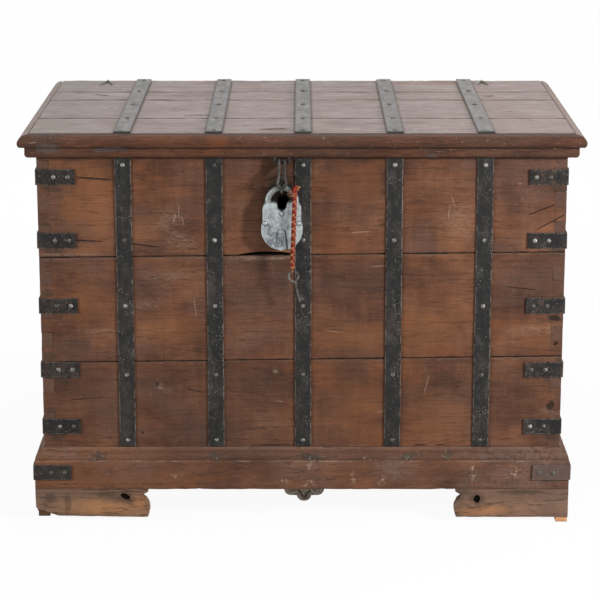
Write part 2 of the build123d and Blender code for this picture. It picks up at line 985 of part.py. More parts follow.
def hasp_staple():
    """Staple up into the moulding; its crown is the pin that the hasp turns on."""
    left = lock_centre - hasp_staple_width / 2
    right = lock_centre + hasp_staple_width / 2
    points = [
        (left, pivot_y, staple_leg_top),
        (left, pivot_y, pivot_z),
        (right, pivot_y, pivot_z),
        (right, pivot_y, staple_leg_top),
    ]
    return rod(points, [crown_bend, crown_bend], wire)


save(hasp_staple(), "hasp_staple")

eye_ring_radius = wire + 1.5 * wire_clearance
hasp_knee_z = pivot_z - hasp_knee_drop
hasp_widest_z = hasp_knee_z - hasp_widest_drop
hasp_end_z = hasp_widest_z - hasp_end_drop


def hasp():
    """Rod bent double: two eyes on the staple's crown, two bars, and a loop at the free end."""
    lean = Vector(0, hasp_y - pivot_y, hasp_knee_z - pivot_z).normalized()
    head_y = pivot_y + lean.Y * eye_ring_radius
    head_z = pivot_z + lean.Z * eye_ring_radius
    left = lock_centre - hasp_bar_spread
    right = lock_centre + hasp_bar_spread
    points = [
        (left, head_y, head_z),
        (left, hasp_y, hasp_knee_z),
        (lock_centre - hasp_eye_spread, hasp_y, hasp_widest_z),
        (lock_centre - hasp_foot_spread, hasp_y, hasp_end_z),
        (lock_centre + hasp_foot_spread, hasp_y, hasp_end_z),
        (lock_centre + hasp_eye_spread, hasp_y, hasp_widest_z),
        (right, hasp_y, hasp_knee_z),
        (right, head_y, head_z),
    ]
    half_bends = [hasp_knee_bend, hasp_widest_bend, hasp_end_bend]
    bends = half_bends + half_bends[::-1]
    bends = [min(bend, limit) for bend, limit in zip(bends, arc_radii(points))]
    bar = rod(points, bends, wire)
    eyes = [ring((x, pivot_y, pivot_z), (1, 0, 0), eye_ring_radius, wire) for x in (left, right)]
    return bar + eyes


save(hasp(), "hasp")


# ---------------------------------------------------------------- padlock

def lock_at(x, drop):
    """Place in (x, z) given from the padlock's centre line and its shoulders."""
    return (lock_centre + x, shoulder_z - drop)


def lock_outline():
    """Face of the padlock in (x, z): a round bowl under two shoulders with a notch between them."""
    bowl = Pos(0, -lock_bowl_drop) * Circle(lock_bowl_radius)
    upper = Pos(0, -lock_bowl_drop / 2) * Rectangle(2 * lock_waist, lock_bowl_drop)
    corners = upper.vertices().group_by(Axis.Y)[-1]
    upper = fillet(corners, shoulder_radius)
    notch_low = notch_depth - notch_radius
    notch = Pos(0, -notch_low) * Circle(notch_radius)
    notch_gap = Pos(0, (cut_over - notch_low) / 2) * Rectangle(2 * notch_radius, notch_low + cut_over)
    face = (bowl + upper) - (notch + notch_gap)
    inner_corners = face.vertices().filter_by(lambda v: abs(abs(v.X) - notch_radius) < 0.1 and v.Y > -1)
    face = fillet(inner_corners, notch_flare)
    return face


lock_face = lock_outline()
lock_place = Pos(lock_centre, shoulder_z)
front_inner = lock_front + plate_thickness
back_inner = lock_back - plate_thickness


def round_bar_y(place, start, end, diameter):
    x, z = place
    return straight((x, start, z), (0, 1, 0), 0, end - start, diameter)


side_rivets = [lock_at(-side_rivet_spread, side_rivet_drop), lock_at(side_rivet_spread, side_rivet_drop)]
middle_rivet = lock_at(0, middle_rivet_drop)
rivet_places = [*side_rivets, middle_rivet]
heel_place = lock_at(-shackle_radius, heel_drop)
cover_pivot = lock_at(cover_pivot_side, cover_pivot_drop)
rivet_hole = rivet_diameter + 2 * nail_clearance
bolt_drop = middle_rivet_drop + bolt_below_rivet
cover_front = lock_front - cover_gap - cover_thickness


def keyhole():
    x, z = lock_at(0, keyhole_drop)
    shape = Pos(x, z) * Circle(keyhole_radius) + Pos(x, z - keyhole_slot / 2) * Rectangle(
        keyhole_radius, keyhole_slot
    )
    return along_y(shape, lock_front - cut_over, front_inner + cut_over)


front_plate = along_y(lock_place * lock_face, lock_front, front_inner) - keyhole()
for place in [*rivet_places, cover_pivot]:
    front_plate = front_plate - round_bar_y(place, lock_front - cut_over, front_inner + cut_over, rivet_hole)
save(front_plate, "padlock_front_plate")


def lock_back_shell():
    """Back plate and rim in one, open at the shoulders where the shackle passes."""
    plate = along_y(lock_place * lock_face, back_inner, lock_back)
    band = lock_face - offset(lock_face, -rim_thickness)
    rim = along_y(lock_place * band, front_inner, back_inner)
    toe_low = shackle_radius - shackle_diameter / 2 - toe_room
    toe_high = lock_waist - rim_thickness - wire_clearance
    toe_gap = block(
        (lock_centre + toe_low, lock_centre + toe_high),
        (front_inner - cut_over, back_inner),
        (shoulder_z - shoulder_radius, shoulder_z + cut_over),
    )
    heel_end = lock_centre - shackle_radius + shackle_diameter / 2 + heel_room
    heel_gap = block(
        (lock_centre - lock_waist - cut_over, heel_end),
        (front_inner - cut_over, back_inner),
        (shoulder_z - heel_drop - heel_room, shoulder_z + cut_over),
    )
    shell = plate + (rim - toe_gap - heel_gap)
    for place in rivet_places:
        shell = shell - round_bar_y(place, front_inner - cut_over, lock_back + cut_over, rivet_hole)
    ward_x, ward_z = lock_at(0, keyhole_drop)
    ward = Pos(ward_x, ward_z) * (Circle(ward_radius) - Circle(ward_radius - ward_wall))
    ward = ward - Pos(ward_x, ward_z - ward_radius) * Rectangle(2 * keyhole_radius, ward_radius)
    return shell + along_y(ward, back_inner - ward_height, back_inner)


save(lock_back_shell(), "padlock_back_shell")


def rivet(place):
    """Rivet through both plates, headed outside each."""
    x, z = place
    bar = round_bar_y(place, lock_front, lock_back, rivet_diameter)
    head = domed_head(rivet_head_radius, rivet_head_height)
    tail = domed_head(rivet_diameter * 0.75, strap_running_gap * 0.6)
    return bar + Pos(x, lock_front, z) * facing_front * head + Pos(x, lock_back, z) * facing_back * tail


def cover_rivet():
    x, z = cover_pivot
    bar = round_bar_y(cover_pivot, cover_front - cover_gap, front_inner, rivet_diameter)
    head = domed_head(rivet_head_radius * 0.8, rivet_head_height * 0.8)
    return bar + Pos(x, cover_front - cover_gap, z) * facing_front * head


heel_pin = round_bar_y(heel_place, front_inner, back_inner, heel_pin_diameter)
save(
    Compound(children=[rivet(place) for place in rivet_places] + [cover_rivet(), Part() + heel_pin]),
    "padlock_rivets",
)


def shackle():
    """Bow of round bar: the left leg turns on the heel pin, the right one ends in a notched toe."""
    left = lock_centre - shackle_radius
    right = lock_centre + shackle_radius
    heel_end = shoulder_z - heel_drop - heel_end_length
    toe_end = shoulder_z - toe_depth
    heel_leg = straight((left, lock_y, shoulder_z), (0, 0, -1), 0, shoulder_z - heel_end, shackle_diameter)
    toe_leg = straight((right, lock_y, shoulder_z), (0, 0, -1), 0, shoulder_z - toe_end, shackle_diameter)
    legs = [chamfer(leg.edges().group_by(Axis.Z)[0], leg_end_chamfer) for leg in (heel_leg, toe_leg)]
    whole = ring((lock_centre, lock_y, shoulder_z), (0, 1, 0), shackle_radius, shackle_diameter)
    reach = shackle_radius + shackle_diameter
    bow = whole & block(
        (lock_centre - reach, lock_centre + reach), (lock_front, lock_back), (shoulder_z, shoulder_z + reach)
    )
    pin_hole = round_bar_y(heel_place, lock_front, lock_back, heel_pin_diameter + 2 * wire_clearance)
    notch_side = right - shackle_diameter / 2
    notch_middle = shoulder_z - bolt_drop
    notch_half = bolt_nose_height / 2 + 2 * wire_clearance
    notch = block(
        (notch_side - cut_over, notch_side + bolt_notch),
        (lock_front, lock_back),
        (notch_middle - notch_half, notch_middle + notch_half),
    )
    return bow + legs - pin_hole - notch


save(shackle(), "padlock_shackle")


def bolt():
    """Flat bolt, drawn back: it slides on the middle rivet and has a tail for the key."""
    tip = lock_centre + shackle_radius - shackle_diameter / 2 - bolt_nose_gap
    z = shoulder_z - bolt_drop
    shoulder = tip - bolt_nose_length
    tail_x = lock_centre - bolt_tail_side
    ys = (lock_y - bolt_thickness / 2, lock_y + bolt_thickness / 2)
    cut_ys = (ys[0] - cut_over, ys[1] + cut_over)
    bar = block((lock_centre - bolt_back, shoulder), ys, (z - bolt_height / 2, z + bolt_height / 2))
    nose = block((shoulder - cut_over, tip), ys, (z - bolt_nose_height / 2, z + bolt_nose_height / 2))
    tail = block((tail_x - bolt_tail_width / 2, tail_x + bolt_tail_width / 2), ys, (z - bolt_tail, z))
    talon = along_y(Pos(tail_x, z - bolt_tail) * Circle(bolt_talon_radius), *cut_ys)
    x, rivet_z = middle_rivet
    slot = SlotCenterToCenter(bolt_travel + bolt_slot_spare, rivet_diameter + 2 * wire_clearance)
    return bar + nose + tail - talon - along_y(Pos(x - bolt_travel / 2, rivet_z) * slot, *cut_ys)


save(bolt(), "padlock_bolt")


def detent_spring():
    """Leaf that lies along the under side of the bolt, held at its left end by the rim."""
    z = shoulder_z - bolt_drop - bolt_height / 2 - wire_clearance
    left = lock_centre - lock_waist + rim_thickness
    ys = (lock_y - spring_width / 2, lock_y + spring_width / 2)
    leaf = block((left, lock_centre - spring_end), ys, (z - spring_thickness, z))
    foot_leg = block((left, left + spring_thickness), ys, (z - spring_foot, z))
    return leaf + foot_leg


save(detent_spring(), "padlock_detent_spring")


def keyhole_cover():
    """Drop-shaped cover hung on its rivet, with a raised oval."""
    x, z = cover_pivot
    foot_z = z - cover_length
    half = cover_foot / 2
    side = cover_top_radius
    shape = outline(
        (x - side, z),
        ((x, z + cover_top_radius), (x + side, z)),
        (x + half, foot_z + cover_foot_rise),
        ((x, foot_z - cover_foot_bulge), (x - half, foot_z + cover_foot_rise)),
    )
    plate = along_y(shape, cover_front, cover_front + cover_thickness)
    raised = Pos(x, z - cover_oval_drop) * Ellipse(*cover_oval_radii)
    oval = along_y(raised, cover_front - cover_oval_height, cover_front)
    hole = round_bar_y(cover_pivot, cover_front - cut_over, lock_front, rivet_diameter + 2 * wire_clearance)
    return plate + oval - hole


save(keyhole_cover(), "keyhole_cover")


# ---------------------------------------------------------------- cord, knots and key

cord_x = lock_centre + shackle_radius * cos(radians(loop_angle)) + cord_top_side
cord_y = cover_front - cover_gap - rivet_head_height - cord_diameter / 2 - cord_clearance
cord_z = shoulder_z + shackle_radius * sin(radians(loop_angle)) - cord_top_drop
cord_route = [
    (cord_x - sway, cord_y - lean, cord_z - drop)
    for sway, lean, drop in zip(cord_sways, cord_leans, cord_drops)
]
cord_radii = arc_radii(cord_route)
key_cord = rod(cord_route, cord_radii, cord_diameter)
cord_length = FilletPolyline(*cord_route, radius=cord_radii).length
save(key_cord, "key_cord")
print("cord radii", [round(r) for r in cord_radii], "length", round(cord_length, 1))
cord_volume = pi * cord_diameter ** 2 / 4 * cord_length
print("cord volume over section x length", round(key_cord.volume / cord_volume, 4))

loop_radius = shackle_diameter / 2 + loop_clearance + strand / 2


def on_bow(angle):
    """Point of the shackle's centre line and the direction along it there."""
    a = radians(angle)
    point = Vector(lock_centre + shackle_radius * cos(a), lock_y, shoulder_z + shackle_radius * sin(a))
    return point, Vector(-sin(a), 0, cos(a))


def bow_knot():
    """Loops round the shackle and the knot that draws them together, above the cord's end."""
    loops = []
    for angle in (loop_angle - loop_spacing / 2, loop_angle + loop_spacing / 2):
        point, direction = on_bow(angle)
        loops.append(ring(point, direction, loop_radius, strand))
    middle = on_bow(loop_angle)[0]
    a = radians(loop_angle)
    outward = Vector(cos(a), 0, sin(a)) * 0.84 + Vector(0, -0.54, 0)
    ball_centre = middle + outward * (shackle_diameter / 2 + knot_radius + wire_clearance)
    ball = Pos(*ball_centre) * Sphere(knot_radius)
    top = Vector(*cord_route[0])
    collar = Pos(top.X, top.Y, top.Z + cord_collar / 2) * Cylinder(cord_diameter / 2, cord_collar)
    crown_centre = Vector(top.X, top.Y, top.Z + cord_collar)
    crown = Pos(*crown_centre) * Sphere(cord_diameter / 2)
    run = crown_centre - ball_centre
    bridge = straight(tuple(ball_centre), tuple(run), 0, run.length, cord_diameter * 0.8)
    return Part() + loops + ball + collar + crown + bridge


cord_end = Vector(*cord_route[-1])
ring_z = cord_end.Z - key_ring_drop - key_ring_radius


def key_loop():
    """Loop of strand through the key's bow, under a short binding on the cord's end."""
    middle_z = cord_end.Z - cord_binding / 2
    binding = Pos(cord_end.X, cord_end.Y, middle_z) * Cylinder(cord_diameter / 2, cord_binding)
    loop = ring((cord_end.X, cord_end.Y, ring_z), (1, 0, 0), key_ring_radius, key_strand)
    return Part() + binding + loop


save(Compound(children=[bow_knot(), key_loop()]), "cord_knots")


def key():
    """Key hanging by its bow, drawn upright with the bow's top inside at the origin, then tilted."""
    bow_top = bow_band / 2
    centre_z = bow_top - bow_height / 2
    opening = Ellipse(bow_width / 2 - bow_band, bow_height / 2 - bow_band)
    band = Ellipse(bow_width / 2, bow_height / 2) - opening
    bow = along_y(Pos(0, centre_z) * band, -key_thickness / 2, key_thickness / 2)
    shank_top = centre_z - bow_height / 2 + bow_band / 2
    shank_low = bow_top - key_length
    shank = Pos(0, 0, (shank_top + shank_low) / 2) * Cylinder(shank_diameter / 2, shank_top - shank_low)
    collar_radius = shank_diameter / 2 + key_collar_lip
    collar = Pos(0, 0, shank_top - key_collar_drop) * Cylinder(collar_radius, key_collar_length)
    bit_low = shank_low + bit_foot
    bit = block((0, bit_width), (-bit_thickness / 2, bit_thickness / 2), (bit_low, bit_low + bit_height))
    ward_cut = block(
        (bit_width - bit_cut_depth, bit_width + cut_over),
        (-bit_thickness, bit_thickness),
        (bit_low + bit_cut_rise, bit_low + bit_cut_rise + bit_cut_height),
    )
    solid = bow + shank + collar + (bit - ward_cut)
    room = key_ring_radius - key_strand / 2 - wire_clearance
    rest = sqrt(room ** 2 - (key_thickness / 2) ** 2) - bow_band / 2
    return Pos(cord_end.X, cord_end.Y, ring_z - rest) * Rot(0, -key_tilt, 0) * solid


save(key(), "key")
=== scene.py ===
import math
import random
from functools import reduce
from types import SimpleNamespace

import bmesh
import bpy
from mathutils import Matrix, Vector, noise


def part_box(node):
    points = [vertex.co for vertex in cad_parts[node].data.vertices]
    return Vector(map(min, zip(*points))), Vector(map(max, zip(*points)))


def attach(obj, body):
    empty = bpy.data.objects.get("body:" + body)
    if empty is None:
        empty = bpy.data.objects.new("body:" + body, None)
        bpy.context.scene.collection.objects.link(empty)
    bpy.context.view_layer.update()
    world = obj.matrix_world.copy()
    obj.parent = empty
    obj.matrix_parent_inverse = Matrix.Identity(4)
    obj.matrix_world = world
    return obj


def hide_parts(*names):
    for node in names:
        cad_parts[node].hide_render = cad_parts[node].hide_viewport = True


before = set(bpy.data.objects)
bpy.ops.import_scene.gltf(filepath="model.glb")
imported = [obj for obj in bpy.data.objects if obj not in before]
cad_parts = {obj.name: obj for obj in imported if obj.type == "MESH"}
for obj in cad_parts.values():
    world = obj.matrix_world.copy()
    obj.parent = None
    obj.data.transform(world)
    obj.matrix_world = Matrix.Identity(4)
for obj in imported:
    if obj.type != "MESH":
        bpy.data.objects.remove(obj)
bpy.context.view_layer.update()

# ---------------------------------------------------------------- sizes, in metres and degrees

CASE_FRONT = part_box("front_plank_upper")[0][1]
CASE_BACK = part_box("back_plank_upper")[1][1]
HALF_WIDTH = 0.489
CASE_TOP = 0.726
FOOT_TOP = 0.066
FLOOR_TOP = 0.086
PLINTH_TOP = 0.146
PLINTH_BEAD = 0.122
PLINTH_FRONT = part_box("plinth_front")[0][1]
LID_TOP = 0.75
MOULDING_FOOT = 0.705
LID_FRONT = CASE_FRONT - 0.01
LID_SEAMS = tuple(LID_FRONT + back for back in (0.163, 0.375, 0.474))
STRAPS = (-0.33, -0.162, 0.002, 0.171, 0.338)
HALF_STRAP = 0.015
LID_NAILS = tuple(LID_FRONT + back for back in (0.019, 0.148, 0.302, 0.468, 0.606))
CORNER_STRAPS = (0.186, 0.298, 0.422, 0.547, 0.667)
PLINTH_STRAP = 0.1
SEAMS = ((0.311, 0.324), (0.514, 0.525))
LOCK_X = -0.037
SHOULDER_Z = 0.6232
BAR_RADIUS = 0.0055
LOCK_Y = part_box("padlock_shackle")[0][1] + BAR_RADIUS
SHACKLE_RADIUS = 0.0261
KNOT_ANGLE = 45
KNOT_RADIUS = 0.0075


# ---------------------------------------------------------------- shader arithmetic

class Value:
    """One output in a finish's node tree. Arithmetic on it adds Math nodes."""

    def __init__(self, finish, output):
        self.finish = finish
        self.output = output

    def math(self, operation, *others):
        return self.finish.node("ShaderNodeMath", {"operation": operation}, dict(enumerate((self, *others))))

    def __add__(self, other):
        return self.math("ADD", other)

    def __mul__(self, other):
        return self.math("MULTIPLY", other)

    def __sub__(self, other):
        return self.math("SUBTRACT", other)

    def __rsub__(self, other):
        return -self + other

    def __neg__(self):
        return self * -1

    def __abs__(self):
        return self.math("ABSOLUTE")

    __radd__ = __add__
    __rmul__ = __mul__

    def least(self, other):
        return self.math("MINIMUM", other)

    def most(self, other):
        return self.math("MAXIMUM", other)

    def rise(self, low, high):
        """0 below low, 1 above high, and smooth between them. It falls where low is the larger."""
        settings = {"interpolation_type": "SMOOTHSTEP", "clamp": True}
        inputs = {"Value": self, "From Min": low, "From Max": high}
        if low > high:
            inputs = {"Value": self, "From Min": high, "From Max": low, "To Min": 1.0, "To Max": 0.0}
        return self.finish.node("ShaderNodeMapRange", settings, inputs)


class Finish:
    """A procedural material: a ground colour with coats over it."""

    def __init__(self, name):
        self.material = bpy.data.materials.new(name)
        self.material.use_nodes = True
        self.tree = self.material.node_tree
        self.tree.nodes.clear()
        self.colour = None
        place = self.node("ShaderNodeTexCoord", out="Object")
        parts = self.node("ShaderNodeSeparateXYZ", inputs={0: place})
        self.place = [Value(self, output) for output in parts.output.node.outputs]

    def node(self, kind, settings=None, inputs=None, out=0):
        node = self.tree.nodes.new(kind)
        for name, value in (settings or {}).items():
            setattr(node, name, value)
        for name, value in (inputs or {}).items():
            socket = node.inputs[name]
            if isinstance(value, Value):
                self.tree.links.new(value.output, socket)
            else:
                socket.default_value = value
        return Value(self, node.outputs[out]) if node.outputs else None

    def vector(self, x, y, z=0.0):
        return self.node("ShaderNodeCombineXYZ", inputs={0: x, 1: y, 2: z})

    def length(self, vector):
        return self.node("ShaderNodeVectorMath", {"operation": "LENGTH"}, {0: vector}, out="Value")

    def distance(self, vector, place):
        inputs = {0: vector, 1: place}
        return self.node("ShaderNodeVectorMath", {"operation": "DISTANCE"}, inputs, out="Value")

    def noise(self, x, y, z=0.0, detail=3, roughness=0.55):
        inputs = {"Vector": self.vector(x, y, z), "Scale": 1.0, "Detail": detail, "Roughness": roughness}
        return self.node("ShaderNodeTexNoise", {"noise_dimensions": "3D"}, inputs)

    def cloud(self, *scales, **kind):
        """Noise over the Object coordinates, each of them scaled."""
        parts = [part if scale == 1 else part * scale for part, scale in zip(self.place, scales)]
        return self.noise(*parts, **kind)

    def specks(self, scale):
        """Distance to the nearest of scattered points."""
        inputs = {"Vector": self.vector(*[part * scale for part in self.place]), "Scale": 1.0}
        return self.node("ShaderNodeTexVoronoi", {"feature": "F1"}, inputs, out="Distance")

    def spots(self, u, v, places, ragged=0.5, fine=90, soft=0.27):
        """1 inside marks on a flat face and 0 outside: (u, v, half length, half width, turn) each."""
        point = self.vector(u, v)

        def reach(mark):
            centre_u, centre_v, half_length, half_width, turn = mark
            mapping = {
                "Vector": point,
                "Location": (centre_u, centre_v, 0.0),
                "Rotation": (0.0, 0.0, math.radians(turn)),
                "Scale": (half_length, half_width, 1.0),
            }
            return self.length(self.node("ShaderNodeMapping", {"vector_type": "TEXTURE"}, mapping))

        least_reach = least_of(map(reach, places))
        wobble = (self.noise(u * fine, v * fine) - 0.5) * ragged * 2
        return (least_reach + wobble).rise(1.0 + soft, 1.0 - soft)

    def mix(self, factor, first, second):
        settings = {"data_type": "RGBA", "blend_type": "MIX", "clamp_factor": True}
        first, second = [part if isinstance(part, Value) else rgba(part) for part in (first, second)]
        return self.node("ShaderNodeMix", settings, {0: factor, 6: first, 7: second}, out=2)

    def ramp(self, factor, *stops):
        """The ground colour."""
        self.colour = self.node("ShaderNodeValToRGB", inputs={0: factor})
        ramp = self.colour.output.node.color_ramp
        while len(ramp.elements) < len(stops):
            ramp.elements.new(0.5)
        for element, (place, colour) in zip(ramp.elements, stops):
            element.position = place
            element.color = rgba(colour)

    def coat(self, factor, colour):
        """Lays a colour over those before it, as far as the factor goes."""
        self.colour = self.mix(factor, self.colour, colour)

    def bump(self, height, depth):
        """Surface relief: height from 0 to 1, over depth metres."""
        return self.node("ShaderNodeBump", inputs={"Height": height, "Distance": depth, "Strength": 1.0})

    def surface(self, roughness, normal, specular=0.5, metallic=0.0):
        inputs = {"Base Color": self.colour, "Roughness": roughness, "Metallic": metallic, "Normal": normal}
        inputs["Specular IOR Level"] = specular
        return self.end(self.node("ShaderNodeBsdfPrincipled", inputs=inputs))

    def end(self, shader):
        self.node("ShaderNodeOutputMaterial", inputs={"Surface": shader})
        return self.material


def begin(name):
    """A new finish and its three Object coordinates."""
    finish = Finish(name)
    return finish, *finish.place


def rgba(colour):
    """Linear colour from screen values of 0 to 255."""
    linear = []
    for part in colour:
        part = part / 255
        linear.append(part / 12.92 if part <= 0.04045 else ((part + 0.055) / 1.055) ** 2.4)
    return (*linear, 1.0)


def least_of(values):
    return reduce(Value.least, values)


def nearest(value, places):
    """Distance from a coordinate to the nearest of some places."""
    return least_of(abs(value - place) for place in places)


def marks(*rows):
    """Marks for spots(), given in millimetres and degrees. A mark with no turn lies straight."""
    return tuple((*(part / 1000 for part in row[:4]), *row[4:], 0)[:5] for row in rows)


# ---------------------------------------------------------------- wood finishes

def wood_pattern(f, along, across, through, shift):
    """Noises of sawn and handled wood whose grain runs along one coordinate."""
    along = along + shift
    sway = f.noise(along * 2, across * 9, through * 9, detail=2)
    bent = across + sway * 0.03
    ridge = f.noise(along * 3, bent * 52, through * 30, detail=5, roughness=0.62)
    return SimpleNamespace(
        patch=f.noise(along * 9, across * 12, through * 12),
        hue=f.noise(along * 5.5 + 31.0, across * 8, through * 8, roughness=0.6),
        grain=f.noise(along * 15, bent * 120, through * 80, detail=4, roughness=0.6),
        streak=f.noise(along * 60, bent * 400, through * 240, roughness=0.65),
        pore=f.noise(along * 190, across * 760, through * 500, detail=2, roughness=0.6),
        cracks=abs(ridge - 0.5).rise(0.009, 0.002),
    )


def wood_tone(p, patch=0.52, grain=0.16, streak=0.24, pore=0.12):
    return p.patch * patch + p.grain * grain + p.streak * streak + p.pore * pore


def wood_relief(f, p, depth=0.0007):
    height = p.grain * 0.25 + p.streak * 0.3 + p.pore * 0.15 - p.cracks * 0.6
    return f.bump(height, depth)


FRONT_DARK = marks(
    (-412, 547, 40, 1.4, -3), (-303, 539, 42, 1.2, -7), (-383, 664, 36, 1.6, -4), (-484, 481, 10, 4, -25),
    (461, 582, 34, 1, 29), (455, 610, 40, 1.1, 22), (484, 620, 7, 4.5, 10), (473, 398, 10, 4.5, -8),
    (476, 348, 5, 3, 30), (-302, 173, 2.2, 2.2), (-273, 269, 3, 4.5), (469, 226, 6, 10, -25),
    (226, 148.5, 12, 1.1), (262, 148.5, 9, 1.1), (-52, 148.5, 40, 1.1), (-405, 240.5, 30, 0.8, 4),
    (405, 456, 30, 0.9, -6), (-200, 256, 18, 0.8, -14),
)
# Darker patches; the one at (-72, 590) beside the padlock is stain and painted shadow of the padlock.
FRONT_SHADE = marks(
    (-262, 524, 45, 14, -8), (384, 640, 9, 36, 2), (120, 470, 60, 35, 20), (-60, 290, 24, 16),
    (-440, 300, 40, 50), (235, 600, 45, 32, 30), (-130, 200, 22, 110, 2), (445, 470, 50, 50),
    (90, 290, 35, 50), (85, 615, 75, 85), (-72, 590, 24, 55), (-80, 250, 60, 80), (-38, 475, 12, 50, 4),
)
FRONT_TAN = marks(
    (-372, 590, 24, 60, 4), (-295, 566, 34, 22), (-395, 529, 34, 10), (-420, 610, 20, 30),
    (-385, 655, 40, 30), (95, 355, 70, 28), (240, 375, 60, 40, 10), (-410, 425, 30, 30), (110, 240, 40, 30),
    (270, 200, 50, 40), (440, 545, 30, 20, 20), (-250, 375, 50, 25), (285, 550, 30, 40),
)
FRONT_SCRATCHES = marks(
    (-236, 590, 0.9, 12, -16), (-221, 586, 0.8, 10, 12), (-228, 602, 0.8, 14, 4), (-42, 235, 7, 1.4, -8),
    (141, 498, 14, 1, 3), (150, 215, 10, 1, 12), (108, 563, 22, 0.9, 6), (280, 620, 0.9, 12, 20),
    (272, 600, 0.8, 16, -6), (235, 268, 0.9, 22, -14), (-200, 420, 0.8, 20, 8), (60, 372, 16, 0.9, -5),
)
FRONT_SCUFFS = marks(
    (-240, 480, 50, 9), (-262, 262, 16, 7, -20), (430, 376, 40, 8), (-290, 424, 24, 10, 10),
    (460, 216, 10, 6), (-372, 372, 30, 6), (-223, 545, 30, 16, -30), (-245, 585, 24, 18),
    (290, 585, 30, 30),
)
# Painted shade: near-black over the old lock hole behind the shackle, where the padlock shades it.
LOCK_HOLE_SHADE = marks((-36, 629, 31, 34))
# Painted shadow beside and round the hasp, under the lid.
HASP_SHADE = marks((-36, 690, 24, 40), (-50, 665, 20, 20), (-22, 665, 20, 20))
SPLINTERED = marks((-80, 512.5, 52, 3.2, 1), (-30, 513.5, 24, 2.2, 3), (-440, 520, 50, 2))
CORNER_STAINS = tuple(
    (side * (HALF_WIDTH - inset), height + above, length, tall, turn)
    for height in CORNER_STRAPS
    for side, inset, above, length, tall, turn in (
        (-1, 0.012, 0.024, 0.012, 0.008, 15), (-1, 0.026, -0.021, 0.02, 0.006, 0),
        (1, 0.016, -0.022, 0.014, 0.007, -10), (1, 0.008, 0.02, 0.007, 0.006, 0),
    )
)
FRONT_KNOTS = marks((-49, 294, 5, 3.4, -10), (-268, 262, 4, 3), (402, 655, 2.2, 1.8))


# A mark whose middle is no further than this from a plank may reach onto it.
MARK_REACH = 0.03


